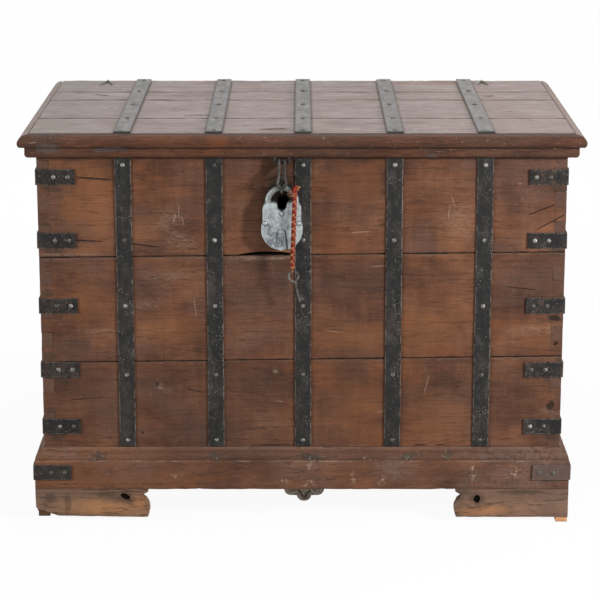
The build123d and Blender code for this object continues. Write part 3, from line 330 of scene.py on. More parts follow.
def front_wood(name, low, high, shift, shade):
    """Planks of the case's front: a warm reddish brown in patches, paler where rubbed, dark by the irons.
    Painted shade lies under the lid, round the old lock hole, by the hasp, in the seams and on the lower
    rows; a painted highlight lies by the straps.
    """
    f, x, y, z = begin(name)

    def spots(places, **kind):
        """Those marks that lie on this plank."""
        bottom, top = min(low) - MARK_REACH, max(high) + MARK_REACH
        return f.spots(x, z, [place for place in places if bottom < place[1] < top], **kind)

    p = wood_pattern(f, x, z, y, shift)
    tone = wood_tone(p)
    wiped = f.cloud(70, 1, 9)
    tone = tone * 0.9 + wiped * 0.1
    f.ramp(tone, (0.38, (62, 39, 29)), (0.49, (94, 60, 43)), (0.57, (112, 73, 52)), (0.7, (142, 98, 71)))
    f.coat(p.hue.rise(0.5, 0.66) * 0.5, (94, 70, 61))
    f.coat(p.hue.rise(0.46, 0.32) * 0.45, (132, 78, 44))
    tan = spots(FRONT_TAN, ragged=0.7, fine=30, soft=0.9)
    f.coat(tan * 0.42, (150, 98, 62))
    shaded = spots(FRONT_SHADE, ragged=0.7, fine=30, soft=0.9)
    f.coat(shaded * 0.42, (66, 48, 41))
    stained = spots(CORNER_STAINS, ragged=1.1, fine=60)
    f.coat(stained * 0.55, (52, 46, 38))
    # Painted shade: the top of the front, under the lid's moulding, is darkened.
    shade_under_lid = (z + (wiped - 0.5) * 0.01).rise(MOULDING_FOOT - 0.011, MOULDING_FOOT + 0.002)
    f.coat(shade_under_lid * 0.7, (44, 31, 26))
    if max(high) == CASE_TOP:
        # Painted shade over the old lock hole behind the shackle.
        lock_hole_shade = f.spots(x, z, LOCK_HOLE_SHADE, ragged=0.4, fine=70)
        # Painted shadow round the hasp.
        hasp_shade = f.spots(x, z, HASP_SHADE, ragged=0.7, fine=60, soft=0.6)
        f.coat(hasp_shade * 0.6, (38, 28, 23))
        f.coat(lock_hole_shade * 0.95, (14, 12, 11))
    grime = f.cloud(34, 30, 14, detail=4)
    by_strap = (nearest(x, STRAPS) - HALF_STRAP).rise(0.01, 0.0)
    f.coat(by_strap * grime.rise(0.35, 0.7) * 0.5, (60, 42, 34))
    # Pale line on the wood along each strap: dust and a painted highlight of the strap's edge.
    dust = (nearest(x, STRAPS) - HALF_STRAP).rise(0.0022, 0.0006) * grime.rise(0.5, 0.58)
    f.coat(dust * 0.35, (140, 122, 108))
    low_slope = (low[1] - low[0]) / (2 * HALF_WIDTH)
    high_slope = (high[1] - high[0]) / (2 * HALF_WIDTH)
    from_low = z - (x + HALF_WIDTH) * low_slope - low[0]
    from_high = (x + HALF_WIDTH) * high_slope + high[0] - z
    edge = from_low.least(from_high)
    ragged = f.cloud(55, 1, 55)
    f.coat((edge + (ragged - 0.5) * 0.01).rise(0.005, 0.0) * 0.55, (58, 38, 30))
    f.coat((from_high + (ragged - 0.5) * 0.018).rise(0.005, 0.0) * 0.4, (138, 112, 94))
    f.coat((edge + (ragged - 0.5) * 0.006).rise(0.0014, 0.0002) * 0.9, (34, 24, 19))
    end = (HALF_WIDTH - abs(x)).rise(0.022, 0.0)
    f.coat(end * 0.35, (84, 64, 56))
    tails = abs(HALF_WIDTH - 0.022 - abs(x)).rise(0.0011, 0.0003) * ragged.rise(0.44, 0.52)
    f.coat(tails * 0.45, (44, 30, 24))
    f.coat(p.cracks * p.patch.rise(0.56, 0.66) * 0.7, (44, 28, 21))
    upright = f.cloud(560, 1, 42, detail=2).rise(0.6, 0.7)
    level = f.noise(x * 42, y + 5.0, z * 620, detail=2).rise(0.6, 0.7)
    f.coat(upright.most(level) * wiped.rise(0.44, 0.58) * 0.2, (146, 114, 92))
    rubbed = f.cloud(110, 1, 900).rise(0.42, 0.62)
    scuffs = spots(FRONT_SCUFFS, ragged=1.0, fine=60, soft=0.8) * rubbed
    f.coat(scuffs * 0.38, (158, 132, 112))
    scratches = spots(FRONT_SCRATCHES, ragged=0.9, fine=160)
    flecks = f.specks(120).rise(0.12, 0.06) * p.hue.rise(0.5, 0.56)
    f.coat(scratches.most(flecks * 0.8) * 0.45, (170, 144, 124))
    knots = spots(FRONT_KNOTS, ragged=0.8, fine=120)
    f.coat(knots * 0.7, (134, 118, 106))
    splinters = f.spots(x, z, SPLINTERED, ragged=1.0, fine=90, soft=0.6) * rubbed.most(ragged.rise(0.4, 0.55))
    f.coat(splinters * 0.7, (142, 120, 102))
    # Painted shade inside the seams between planks, on faces that lie behind the front.
    inside = (y - CASE_FRONT).rise(0.001, 0.004) * (HALF_WIDTH - abs(x)).rise(0.0015, 0.005)
    f.coat(inside * (z - (CASE_TOP - 0.006)).rise(0.0, -0.004) * 0.85, (22, 16, 13))
    splits = spots(FRONT_DARK, ragged=0.7, fine=120)
    f.coat(splits * 0.85, (30, 20, 16))
    height = p.grain * 0.25 + p.streak * 0.3 + p.pore * 0.15 - p.cracks * 0.5 - splits * 2.2
    # Painted shade: the lower rows of planks are darkened, as less light reaches them.
    f.coat(shade, (44, 34, 30))
    return f.surface(0.52 + (1 - p.patch) * 0.25, f.bump(height, 0.0008), specular=0.18)


def side_wood(name, shift):
    f, x, y, z = begin(name)
    p = wood_pattern(f, y, z, x, shift)
    tone = wood_tone(p)
    f.ramp(tone, (0.38, (70, 46, 35)), (0.5, (100, 66, 49)), (0.58, (116, 78, 58)), (0.72, (146, 104, 78)))
    f.coat(p.hue.rise(0.5, 0.66) * 0.5, (98, 76, 68))
    depth_end = (y - CASE_FRONT).least(-y + CASE_BACK).rise(0.03, 0.0)
    f.coat(depth_end * 0.4, (78, 58, 49))
    end_grain = (y - CASE_FRONT).rise(0.0016, 0.0002)
    f.coat(end_grain * 0.55, (76, 50, 38))
    f.coat(p.cracks * p.patch.rise(0.5, 0.62) * 0.8, (40, 26, 20))
    flecks = f.specks(120).rise(0.14, 0.07) * p.hue.rise(0.5, 0.56)
    f.coat(flecks * 0.45, (178, 152, 132))
    return f.surface(0.62, wood_relief(f, p), specular=0.35)


def inner_wood(name, shift):
    """Back, floor and battens: dry and hardly handled."""
    f, x, y, z = begin(name)
    p = wood_pattern(f, x, z + y * 0.7, y, shift)
    tone = wood_tone(p, patch=0.35, grain=0.35, streak=0.26)
    f.ramp(tone, (0.4, (70, 50, 39)), (0.53, (106, 79, 61)), (0.72, (144, 114, 90)))
    f.coat(p.hue.rise(0.52, 0.66) * 0.5, (96, 82, 74))
    f.coat(p.cracks * 0.8, (38, 27, 22))
    return f.surface(0.8, wood_relief(f, p, 0.0009), specular=0.3)


LID_DARK = marks(
    (-54, -266, 24, 6, 6), (-36, -262, 10, 4, -10), (-399, 117, 10, 5), (-412, 128, 6, 3.5, 20),
    (377, 111, 10, 5), (150, -205, 30, 1.8, 3), (-230, -50, 30, 2, 4), (210, -200, 25, 2, -3),
    (-190, -115, 35, 4, 3),
)
LID_BROWN = marks((420, -128, 75, 10, 2), (-56, -277, 34, 7), (300, 280, 140, 20))


def lid_wood(name, low, high, shift):
    """Lid planks: greyish pink on the top face, from weathering and a painted sheen, greener at the left end,
    with long drying cracks.
    """
    f, x, y, z = begin(name)
    p = wood_pattern(f, x, y, z, shift)
    tone = wood_tone(p, patch=0.36, grain=0.3, streak=0.26)
    stops = ((0.36, (90, 72, 67)), (0.5, (126, 105, 99)), (0.6, (146, 124, 118)), (0.74, (172, 150, 144)))
    f.ramp(tone, *stops)
    f.coat(p.hue.rise(0.46, 0.34) * 0.4, (140, 108, 92))
    left = (x + p.hue * 0.3).rise(-0.12, -0.34)
    f.coat(left * 0.45, (106, 98, 88))
    f.coat(x.rise(0.05, 0.4) * 0.3, (158, 134, 126))
    front = (y + p.hue * 0.08 - LID_FRONT).rise(0.09, 0.03)
    f.coat(front * 0.4, (86, 72, 64))
    # The top face keeps the greyish pink of weathering and painted sheen; the other faces are browner.
    upper_face = z.rise(LID_TOP - 0.004, LID_TOP - 0.002)
    f.coat((1 - upper_face) * 0.55, (108, 80, 63))
    # Painted shade on the top face beside each strap.
    by_strap = (nearest(x, STRAPS) - HALF_STRAP).rise(0.006, 0.0) * upper_face
    f.coat(by_strap * 0.5, (52, 40, 34))
    brown = f.spots(x, y, LID_BROWN, ragged=0.8, fine=50)
    f.coat(brown * 0.6, (118, 70, 44))
    edge = (y - low).least(-y + high)
    ragged = f.cloud(40, 40, 1)
    worn_edge = (edge + (ragged - 0.5) * 0.004).rise(0.0045, 0.0014)
    f.coat(worn_edge * 0.9, (40, 28, 23))
    cracks = p.cracks * p.patch.rise(0.46, 0.58)
    f.coat(cracks * 0.75, (38, 27, 22))
    knots = f.spots(x, y, LID_DARK, ragged=1.3, fine=110)
    f.coat(knots * 0.85, (34, 25, 21))
    height = p.grain * 0.3 + p.streak * 0.3 + p.pore * 0.15 - cracks * 0.6 - knots * 0.8
    dull = (1 - tone).rise(0.4, 0.62) * 0.16 + worn_edge * 0.4 + cracks * 0.35 + knots * 0.4 + by_strap * 0.2
    return f.surface(dull + 0.36, f.bump(height, 0.0005), specular=0.5)


MOULDING_GREY = marks((-352, 722, 30, 6), (240, 706, 16, 6), (-465, 725, 20, 10))


def moulding_wood(name, sideways, shift):
    """Lid moulding: brown and rubbed, its hollows dark, with chips and paint flecks."""
    f, x, y, z = begin(name)
    along, through = (y, x) if sideways else (x, y)
    p = wood_pattern(f, along, z, through, shift)
    tone = wood_tone(p, patch=0.42, grain=0.26, streak=0.26)
    f.ramp(tone, (0.38, (46, 28, 20)), (0.5, (74, 45, 31)), (0.6, (94, 60, 42)), (0.74, (126, 88, 66)))
    f.coat(p.hue.rise(0.52, 0.66) * 0.35, (70, 54, 46))
    f.coat(p.hue.rise(0.46, 0.34) * 0.4, (122, 70, 38))
    fillet = abs(z - (CASE_TOP - 0.0005)).rise(0.003, 0.0008)
    f.coat(fillet * 0.75, (40, 27, 22))
    foot = z.rise(MOULDING_FOOT + 0.0035, MOULDING_FOOT + 0.0005)
    f.coat(foot * 0.6, (44, 31, 26))
    top = z.rise(LID_TOP - 0.005, LID_TOP - 0.0015)
    f.coat(top * (0.85 if sideways else 0.5), (136, 116, 108) if sideways else (96, 80, 72))
    if not sideways:
        f.coat(f.spots(x, z, MOULDING_GREY, ragged=1.2, fine=90) * 0.6, (86, 78, 76))
    chips = f.noise(along * 90, z * 260, through * 200).rise(0.66, 0.71)
    f.coat(chips * p.hue.rise(0.45, 0.52) * 0.45, (166, 146, 132))
    f.coat(p.cracks * 0.6, (36, 24, 20))
    gloss = 0.5 if sideways else 0.2
    return f.surface(p.patch * 0.2 + (0.4 if sideways else 0.5), wood_relief(f, p, 0.0004), specular=gloss)


PLINTH_STAINS = marks(
    (-386, 129, 15, 7, 10), (-163, 130, 13, 6), (12, 129, 20, 6, -8), (205, 130, 20, 6, 8),
    (275, 132, 10, 5, 20), (30, 130, 10, 3),
)
PLINTH_GREY = marks(
    (420, 130, 90, 16), (440, 95, 100, 30), (170, 105, 30, 20), (-460, 135, 50, 12), (330, 75, 30, 12),
)
PLINTH_PALE = marks(
    (119, 128, 3.5, 2.2), (128, 124, 2, 2.8), (97, 88, 3.5, 12, 4), (-200, 133, 2, 2), (17, 112, 5, 7),
    (-35, 82, 12, 4, 10), (4, 76, 8, 5), (-240, 93, 10, 3.5), (325, 100, 5, 14, 3), (-400, 122, 26, 1),
    (-315, 122.2, 12, 1), (18, 79, 5, 8), (455, 106, 10, 6, 20), (405, 102, 8, 10), (150, 85, 6, 10),
)


def plinth_wood(name, sideways, shift):
    """Plinth boards: brown, with a pale rubbed bead, rust stains under the straps and greyer ends."""
    f, x, y, z = begin(name)
    along, through = (y, x) if sideways else (x, y)
    p = wood_pattern(f, along, z, through, shift)
    tone = wood_tone(p, patch=0.46)
    f.ramp(tone, (0.38, (66, 42, 31)), (0.5, (98, 64, 46)), (0.6, (118, 79, 57)), (0.74, (148, 107, 81)))
    f.coat(p.hue.rise(0.5, 0.66) * 0.45, (98, 76, 66))
    f.coat(p.hue.rise(0.46, 0.34) * 0.35, (134, 82, 48))
    rub = f.noise(along * 60, z * 60, 0.0, detail=4)
    long_rub = f.noise(along * 11, z * 40, 4.0, detail=4)
    bead = abs(z - (PLINTH_BEAD - 0.0003)).rise(0.0013, 0.0004)
    f.coat(bead * long_rub.rise(0.42, 0.62) * rub.rise(0.4, 0.52) * 0.5, (150, 132, 118))
    above = abs(z - (PLINTH_BEAD + 0.0035)).rise(0.003, 0.0008)
    f.coat(above * 0.4, (58, 42, 35))
    f.coat(z.rise(PLINTH_BEAD + 0.002, PLINTH_BEAD + 0.008) * 0.5, (74, 50, 39))
    top = abs(z - (PLINTH_TOP - 0.0022)).rise(0.0022, 0.0008) * rub.rise(0.36, 0.5)
    f.coat(top * 0.3, (126, 108, 95))
    ledge = z.rise(PLINTH_TOP - 0.0008, PLINTH_TOP - 0.0002)
    f.coat(ledge * 0.6, (62, 48, 41))
    if not sideways:
        f.coat(x.rise(-0.18, -0.4) * 0.22, (150, 98, 66))
        mottle = f.cloud(170, 1, 170, detail=4)
        grey = f.spots(x, z, PLINTH_GREY, ragged=1.0, fine=30, soft=0.9) * mottle.rise(0.36, 0.56)
        f.coat(grey * 0.5, (108, 91, 82))
        stain = f.spots(x, z, PLINTH_STAINS, ragged=1.6, fine=120, soft=0.5) * mottle.rise(0.34, 0.5)
        f.coat(stain * 0.85, (50, 49, 43))
        rings = f.spots(x, z, PLINTH_STAINS, ragged=2.2, fine=160, soft=0.9) * mottle.rise(0.56, 0.62)
        f.coat(rings * 0.6, (118, 112, 96))
        pale = f.spots(x, z, PLINTH_PALE, ragged=1.9, fine=130, soft=0.7) * mottle.rise(0.46, 0.58)
        f.coat(pale * 0.55, (166, 142, 124))
    low = (z - FOOT_TOP + (rub - 0.5) * 0.012).rise(0.006, 0.0)
    f.coat(low * 0.45, (70, 50, 41))
    flecks = f.specks(120).rise(0.14, 0.07) * p.hue.rise(0.48, 0.54)
    f.coat(flecks * 0.4, (182, 158, 138))
    f.coat(p.cracks * p.patch.rise(0.5, 0.62) * 0.7, (40, 27, 21))
    return f.surface(0.62, wood_relief(f, p), specular=0.22)


FOOT_DARK = marks(
    (-480, 48, 12, 10), (-336, 51, 18, 12, -20), (-372, 55, 20, 6), (333, 47, 14, 13), (300, 58, 24, 6, 10),
    (-446, 40, 6, 16), (420, 60, 50, 5), (350, 34, 30, 3, 12),
)
FOOT_GLOW = marks((-380, 30, 50, 12, -4), (-310, 40, 12, 12), (345, 22, 40, 9, 4))


def foot_wood(name, shift, tint=(0, 0, 0), stains=True):
    """Bracket feet: brown above, bare and tan below, dirty at the floor."""
    f, x, y, z = begin(name)
    p = wood_pattern(f, x + y, z, y, shift)
    tone = wood_tone(p, patch=0.46)
    stops = [(0.38, (94, 68, 50)), (0.5, (132, 98, 73)), (0.6, (154, 117, 88)), (0.74, (184, 147, 114))]
    stops = [(place, tuple(a + b for a, b in zip(colour, tint))) for place, colour in stops]
    f.ramp(tone, *stops)
    rough_line = f.cloud(26, 26, 26, detail=4)
    upper = (z + (rough_line - 0.5) * 0.03).rise(0.036, 0.05)
    f.coat(upper * 0.7, (100, 76, 63))
    corner = abs(x).rise(0.44, 0.475)
    f.coat(corner * 0.45, (104, 84, 72))
    if stains:
        f.coat(f.spots(x, z, FOOT_DARK, ragged=1.1, fine=60, soft=0.5) * 0.6, (58, 44, 36))
        f.coat(f.spots(x, z, FOOT_GLOW, ragged=0.9, fine=50, soft=0.8) * 0.5, (178, 124, 78))
    floor_dirt = z.rise(0.0145, 0.0105)
    f.coat(floor_dirt * 0.45, (84, 66, 54))
    f.coat(p.cracks * 0.7, (46, 33, 26))
    flecks = f.cloud(200, 200, 300).rise(0.66, 0.72)
    f.coat(flecks * 0.4, (196, 170, 144))
    return f.surface(0.72, wood_relief(f, p, 0.0009), specular=0.3)


def drop_wood():
    """Carved drop: old, grey and dark in its veins."""
    f, x, y, z = begin("drop_wood")
    p = wood_pattern(f, x, z, y, 3.3)
    speck = f.cloud(230, 230, 230, detail=4)
    f.ramp(speck, (0.34, (48, 42, 36)), (0.48, (84, 76, 66)), (0.6, (108, 98, 86)), (0.72, (140, 130, 116)))
    f.coat(p.patch.rise(0.5, 0.62) * 0.4, (92, 68, 52))
    low = (y - PLINTH_FRONT).rise(0.0006, 0.002)
    f.coat(low * 0.6, (44, 38, 33))
    return f.surface(0.8, f.bump(speck, 0.0012), specular=0.3)


def shim_wood():
    f, x, y, z = begin("shim_wood")
    p = wood_pattern(f, y, z, x, 8.1)
    tone = wood_tone(p, patch=0.3, grain=0.36, streak=0.3)
    f.ramp(tone, (0.38, (168, 112, 72)), (0.52, (204, 148, 104)), (0.7, (226, 178, 136)))
    f.coat(z.rise(0.003, 0.0) * 0.4, (120, 90, 66))
    f.coat(x.rise(0.1, -0.1) * 0.85, (92, 68, 52))
    return f.surface(0.8, wood_relief(f, p), specular=0.3)


# ---------------------------------------------------------------- metal finishes

def forged_iron(name, dark, mid, pale, rust=0.25, edges=None, faded=False):
    """Strap iron: dark scale in a beaten face, a painted highlight along its edges where edges is given,
    flecked with dust and old paint.
    """
    f, x, _, z = begin(name)
    beaten = f.cloud(55, 55, 40, detail=4, roughness=0.6)
    scale = f.cloud(300, 300, 260, detail=4, roughness=0.7)
    broad = f.cloud(14, 14, 9)
    tone = beaten * 0.4 + scale * 0.4 + broad * 0.2
    f.ramp(tone, (0.38, dark), (0.5, mid), (0.62, pale))
    f.coat(broad.rise(0.54, 0.66) * rust, (74, 52, 42))
    f.coat(x.rise(-0.2, -0.4) * 0.4, dark)
    if edges is not None:
        # Painted highlight along the strap's edges, broken up by noise.
        edge = abs(nearest(x, STRAPS) - HALF_STRAP).rise(edges, edges * 0.35)
        worn = f.cloud(120, 120, 90)
        f.coat(edge * worn.rise(0.42, 0.6) * 0.5, (136, 128, 118))
    if faded:
        rim = abs(nearest(z, (*CORNER_STRAPS, PLINTH_STRAP)) - HALF_STRAP).rise(0.0022, 0.0007)
        f.coat(rim * scale.rise(0.44, 0.56) * 0.5, (124, 116, 108))
        rust_rings = f.specks(105)
        ring = abs(rust_rings - 0.34).rise(0.09, 0.03) * broad.rise(0.44, 0.52)
        f.coat(ring * 0.6, (84, 62, 50))
        f.coat(z.rise(0.135, 0.125) * (x.rise(-0.2, 0.2) * 0.6 + 0.05), (104, 84, 74))
    dots = f.specks(210).rise(0.26, 0.12)
    flecks = dots * f.cloud(36, 36, 26).rise(0.5, 0.6)
    f.coat(flecks * 0.55, (158, 150, 138))
    height = beaten * 0.6 + scale * 0.3 + flecks * 0.2
    return f.surface(0.46 + tone * 0.3, f.bump(height, 0.0012), specular=0.3, metallic=0.2)


def lid_strap_iron():
    """The same iron on the lid, greyed by dust and a painted sheen, with painted shade at its borders, dark
    at its cut front ends.
    """
    f, x, y, _ = begin("lid_strap_iron")
    beaten = f.cloud(60, 20, 60)
    scale = f.cloud(280, 90, 280, roughness=0.6)
    tone = beaten * 0.6 + scale * 0.4
    # The pale grey ground is dust and a painted sheen.
    f.ramp(tone, (0.3, (70, 70, 67)), (0.5, (92, 90, 87)), (0.7, (112, 109, 105)))
    f.coat(x.rise(0.1, 0.35) * 0.35, (124, 118, 114))
    # Painted shade along the strap's borders.
    border_shade = abs(nearest(x, STRAPS) - HALF_STRAP).rise(0.0035, 0.0008) * beaten.rise(0.38, 0.55)
    f.coat(border_shade * 0.35, (46, 44, 42))
    tip = (y - LID_FRONT).rise(0.011, 0.0055)
    f.coat(tip * 0.85, (32, 30, 28))
    by_nail = nearest(y, LID_NAILS) + nearest(x, STRAPS)
    stain = (by_nail + (beaten - 0.5) * 0.02).rise(0.011, 0.005)
    f.coat(stain * 0.6, (38, 36, 34))
    height = beaten * 0.6 + scale * 0.3
    dull = tone.rise(0.6, 0.4) * 0.08 + border_shade * 0.1 + tip * 0.3 + stain * 0.2
    return f.surface(dull + 0.36, f.bump(height, 0.0003), metallic=0.3)


def nail_iron(name, dark, mid, pale):
    """Hammered nail heads, some rubbed bright and some still dark."""
    f, x, y, z = begin(name)
    speck = f.cloud(260, 260, 260)
    each = f.noise(x * 17 + 3.0, y * 17, z * 17, detail=1)
    f.ramp(speck * 0.4 + each * 0.6, (0.38, dark), (0.5, mid), (0.6, pale))
    return f.surface(0.62 - each * 0.3, f.bump(speck, 0.0009), specular=0.4, metallic=0.3)


COVER_X = LOCK_X - 0.001
COVER_Z = SHOULDER_Z - 0.0555
COVER_HALF_TOP = 0.0068
COVER_SPREAD = 0.095
COVER_LENGTH = 0.033
RIVET_HEAD = 0.0042
RIVET_PLACES = ((-0.031, -0.039), (0.031, -0.039), (0.0, -0.021))
RIVETS = tuple((LOCK_X + x, SHOULDER_Z + z, 0.0) for x, z in RIVET_PLACES)


def plated_steel(name, dark, mid, pale, rivets=False):
    """Galvanised padlock steel: cloudy spangle and darker pits low down."""
    f, x, _, z = begin(name)
    spangle = f.cloud(130, 130, 130, detail=4, roughness=0.65)
    cloud = f.cloud(42, 42, 42)
    tone = spangle * 0.5 + cloud * 0.5
    f.ramp(tone, (0.36, dark), (0.5, mid), (0.64, pale))
    f.coat(cloud.rise(0.52, 0.62) * 0.3, (132, 148, 146))
    pits = f.specks(230).rise(0.3, 0.16)
    worn_places = (
        (LOCK_X - 0.014, SHOULDER_Z - 0.07, 0.022, 0.016, -30),
        (LOCK_X - 0.026, SHOULDER_Z - 0.05, 0.008, 0.014, 0),
    )
    low_left = f.spots(x, z, worn_places, ragged=0.9, fine=70)
    f.coat(low_left * spangle.rise(0.44, 0.52) * 0.75, (74, 76, 84))
    f.coat(pits * cloud.rise(0.44, 0.54) * 0.55, (82, 84, 88))
    height = spangle * 0.4 + cloud * 0.6 - pits * 0.3
    if rivets:
        point = f.vector(x, z)
        from_rivet = least_of(f.distance(point, rivet) for rivet in RIVETS)
        # Painted shade in a ring round each rivet head, and a painted highlight on the head.
        outline = abs(from_rivet - RIVET_HEAD).rise(0.0013, 0.0005)
        f.coat(outline * 0.8, (40, 42, 44))
        f.coat(from_rivet.rise(0.0036, 0.0028) * 0.4, (170, 173, 174))
        sideways = x - COVER_X
        below = -z + COVER_Z
        half = below * COVER_SPREAD + COVER_HALF_TOP
        gap = (sideways - half - 0.001).rise(0.0016, 0.0008) * (sideways - half).rise(-0.0012, -0.0004)
        left_gap = abs(sideways + half).rise(0.0009, 0.0004)
        tall = below.rise(-0.004, -0.003) * below.rise(COVER_LENGTH + 0.0005, COVER_LENGTH - 0.0005)
        foot = abs(below - COVER_LENGTH).rise(0.0011, 0.0005) * abs(sideways).rise(0.011, 0.01)
        head = abs(below + 0.0045).rise(0.0011, 0.0005) * abs(sideways).rise(0.0068, 0.0058)
        shadow_line = (gap.most(left_gap) * tall).most(foot).most(head)
        f.coat(shadow_line * 0.9, (22, 23, 25))
    return f.surface(0.36 + tone * 0.2, f.bump(height, 0.0005), metallic=0.55)


def strand_cloth(name, base, shade, fleck):
    """Twisted yarn of the plaited cord, with loose fibres."""
    f = Finish(name)
    yarn = f.cloud(1500, 1500, 900, detail=2)
    patch = f.cloud(220, 220, 160)
    f.colour = base
    f.coat(patch.rise(0.44, 0.62) * 0.7, shade)
    f.coat(yarn.rise(0.54, 0.7) * 0.55, fleck)
    return f.surface(0.9, f.bump(yarn, 0.0004), specular=0.2)


def paint(material, *nodes):
    """Gives CAD nodes a finish."""
    for name in nodes:
        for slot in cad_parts[name].material_slots:
            slot.link = "OBJECT"
            slot.material = material


def named(stem, endings):
    return [f"{stem}_{ending}" for ending in endings]


ROWS = ("lower", "middle", "upper")
# How far each row of the front is darkened: painted shade, the lowest row most.
ROW_SHADES = (0.22, 0.12, 0.02)
SIDES = ("left", "right")
FIVE = range(1, 6)
row_edges = ((FLOOR_TOP, FLOOR_TOP), *SEAMS, (CASE_TOP, CASE_TOP))
for index, row in enumerate(ROWS):
    shift = 3.7 * index + 0.4
    low, high = row_edges[index:index + 2]
    paint(front_wood(f"front_wood_{row}", low, high, shift, ROW_SHADES[index]), f"front_plank_{row}")
    paint(side_wood(f"side_wood_{row}", shift + 1.3), f"left_plank_{row}", f"right_plank_{row}")
    paint(inner_wood(f"back_wood_{row}", shift + 2.1), f"back_plank_{row}")
paint(inner_wood("floor_wood", 9.0), "floor_boards", "lid_battens")
lid_lines = (LID_FRONT, *LID_SEAMS, CASE_BACK)
for index in range(4):
    finish = lid_wood(f"lid_wood_{index + 1}", lid_lines[index], lid_lines[index + 1], 2.9 * index + 0.8)
    paint(finish, f"lid_plank_{index + 1}")
paint(moulding_wood("lid_moulding_wood", False, 5.2), "lid_moulding_front")
paint(moulding_wood("lid_side_moulding_wood", True, 7.2), *named("lid_moulding", SIDES))
paint(plinth_wood("plinth_wood", False, 1.1), "plinth_front")
paint(plinth_wood("plinth_side_wood", True, 4.1), *named("plinth", SIDES))
paint(foot_wood("foot_wood", 0.7), "foot_front_left")
paint(foot_wood("foot_wood_right", 5.9, (-4, -2, 4)), "foot_front_right")
paint(foot_wood("back_foot_wood", 3.1, stains=False), *named("foot_back", SIDES))
paint(drop_wood(), "carved_drop")
paint(shim_wood(), "levelling_shims")

strap_iron = forged_iron("strap_iron", (17, 17, 17), (30, 29, 28), (64, 62, 59), rust=0.15, edges=0.0022)
corner_iron = forged_iron("corner_iron", (18, 16, 15), (29, 27, 26), (64, 60, 57), rust=0.3, faded=True)
bar_iron = forged_iron("bar_iron", (34, 32, 31), (58, 55, 52), (104, 99, 94), rust=0.3)
pin_iron = forged_iron("pin_iron", (120, 120, 110), (146, 145, 136), (170, 168, 160), rust=0.02)
# The hasp's staple takes the darkest iron as painted shade, for its place under the lid's skirt.
paint(strap_iron, "hasp_staple", *named("front_strap", FIVE))
paint(corner_iron, "corner_straps_front", "corner_straps_back")
paint(bar_iron, "hasp", "lock_staple")
paint(lid_strap_iron(), *named("lid_strap", FIVE))
paint(pin_iron, "hinge_pins_case", "hinge_pins_lid")
paint(nail_iron("case_nail_iron", (48, 46, 44), (84, 81, 77), (150, 147, 142)), "case_nails")
paint(nail_iron("lid_nail_iron", (52, 49, 46), (82, 78, 74), (130, 126, 120)), "lid_nails")

steel = plated_steel("lock_steel", (124, 130, 133), (164, 170, 172), (206, 211, 212), rivets=True)
cover_steel = plated_steel("cover_steel", (116, 124, 126), (156, 163, 165), (200, 206, 207))
shackle_steel = plated_steel("shackle_steel", (82, 84, 84), (124, 127, 126), (170, 173, 172))
paint(steel, "padlock_front_plate", "padlock_back_shell", "padlock_rivets")
paint(shackle_steel, "padlock_shackle", "padlock_bolt", "padlock_detent_spring")
paint(plated_steel("key_steel", (52, 47, 43), (78, 72, 67), (112, 106, 100)), "key")

red_yarn = strand_cloth("red_yarn", (150, 44, 36), (88, 32, 28), (182, 86, 64))
dark_yarn = strand_cloth("dark_yarn", (66, 40, 32), (42, 32, 26), (112, 74, 54))
gold_yarn = strand_cloth("gold_yarn", (166, 136, 92), (116, 90, 60), (216, 196, 148))
cream_yarn = strand_cloth("cream_yarn", (232, 196, 128), (206, 142, 78), (250, 232, 186))
paint(red_yarn, "cord_knots", "key_cord")

# ---------------------------------------------------------------- making pieces

rng = random.Random(11)


def finished(name, bm, body, slot, materials, replaced=(), sharp=35):
    """Makes a shaped bmesh into a piece that rides on a body."""
    mesh = bpy.data.meshes.new(name)
    bm.to_mesh(mesh)
    bm.free()
    for polygon in mesh.polygons:
        polygon.use_smooth = True
    mesh.set_sharp_from_angle(angle=math.radians(sharp))
    piece = bpy.data.objects.new(name, mesh)
    bpy.context.scene.collection.objects.link(piece)
    for material in materials:
        mesh.materials.append(material)
    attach(piece, body)
    if replaced:
        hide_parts(*replaced)
    return piece


def merged_copy(node):
    """A CAD node's own shape as one welded mesh, its flat faces joined up."""
    bm = bmesh.new()
    bm.from_mesh(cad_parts[node].data)
    bmesh.ops.remove_doubles(bm, verts=bm.verts, dist=0.000004)
    bmesh.ops.dissolve_limit(bm, angle_limit=math.radians(0.6), verts=bm.verts, edges=bm.edges)
    return bm


def round_edges(piece, width, segments, angle):
    bevel = piece.modifiers.new("rounded_edges", "BEVEL")
    bevel.width = width
    bevel.segments = segments
    bevel.profile = 0.5
    bevel.limit_method = "ANGLE"
    bevel.angle_limit = math.radians(angle)
    bevel.use_clamp_overlap = True


def curve_mesh(places, cyclic=False, steps=1, **shape):
    """Mesh of a smooth curve that places control: (x, y, z, radius) each."""
    curve = bpy.data.curves.new("strand", "CURVE")
    curve.dimensions = "3D"
    for name, value in shape.items():
        setattr(curve, name, value)
    spline = curve.splines.new("NURBS")
    spline.points.add(len(places) - 1)
    for point, (*place, radius) in zip(spline.points, places):
        point.co = (*place, 1.0)
        point.radius = radius
    spline.order_u = 3
    spline.use_cyclic_u = cyclic
    spline.use_endpoint_u = not cyclic
    spline.resolution_u = steps
    holder = bpy.data.objects.new("strand", curve)
    mesh = bpy.data.meshes.new_from_object(holder)
    bpy.data.objects.remove(holder)
    bpy.data.curves.remove(curve)
    return mesh


def join(bm, mesh, material_index):
    count = len(bm.faces)
    bm.from_mesh(mesh)
    bpy.data.meshes.remove(mesh)
    bm.faces.ensure_lookup_table()
    for face in bm.faces[count:]:
        face.material_index = material_index


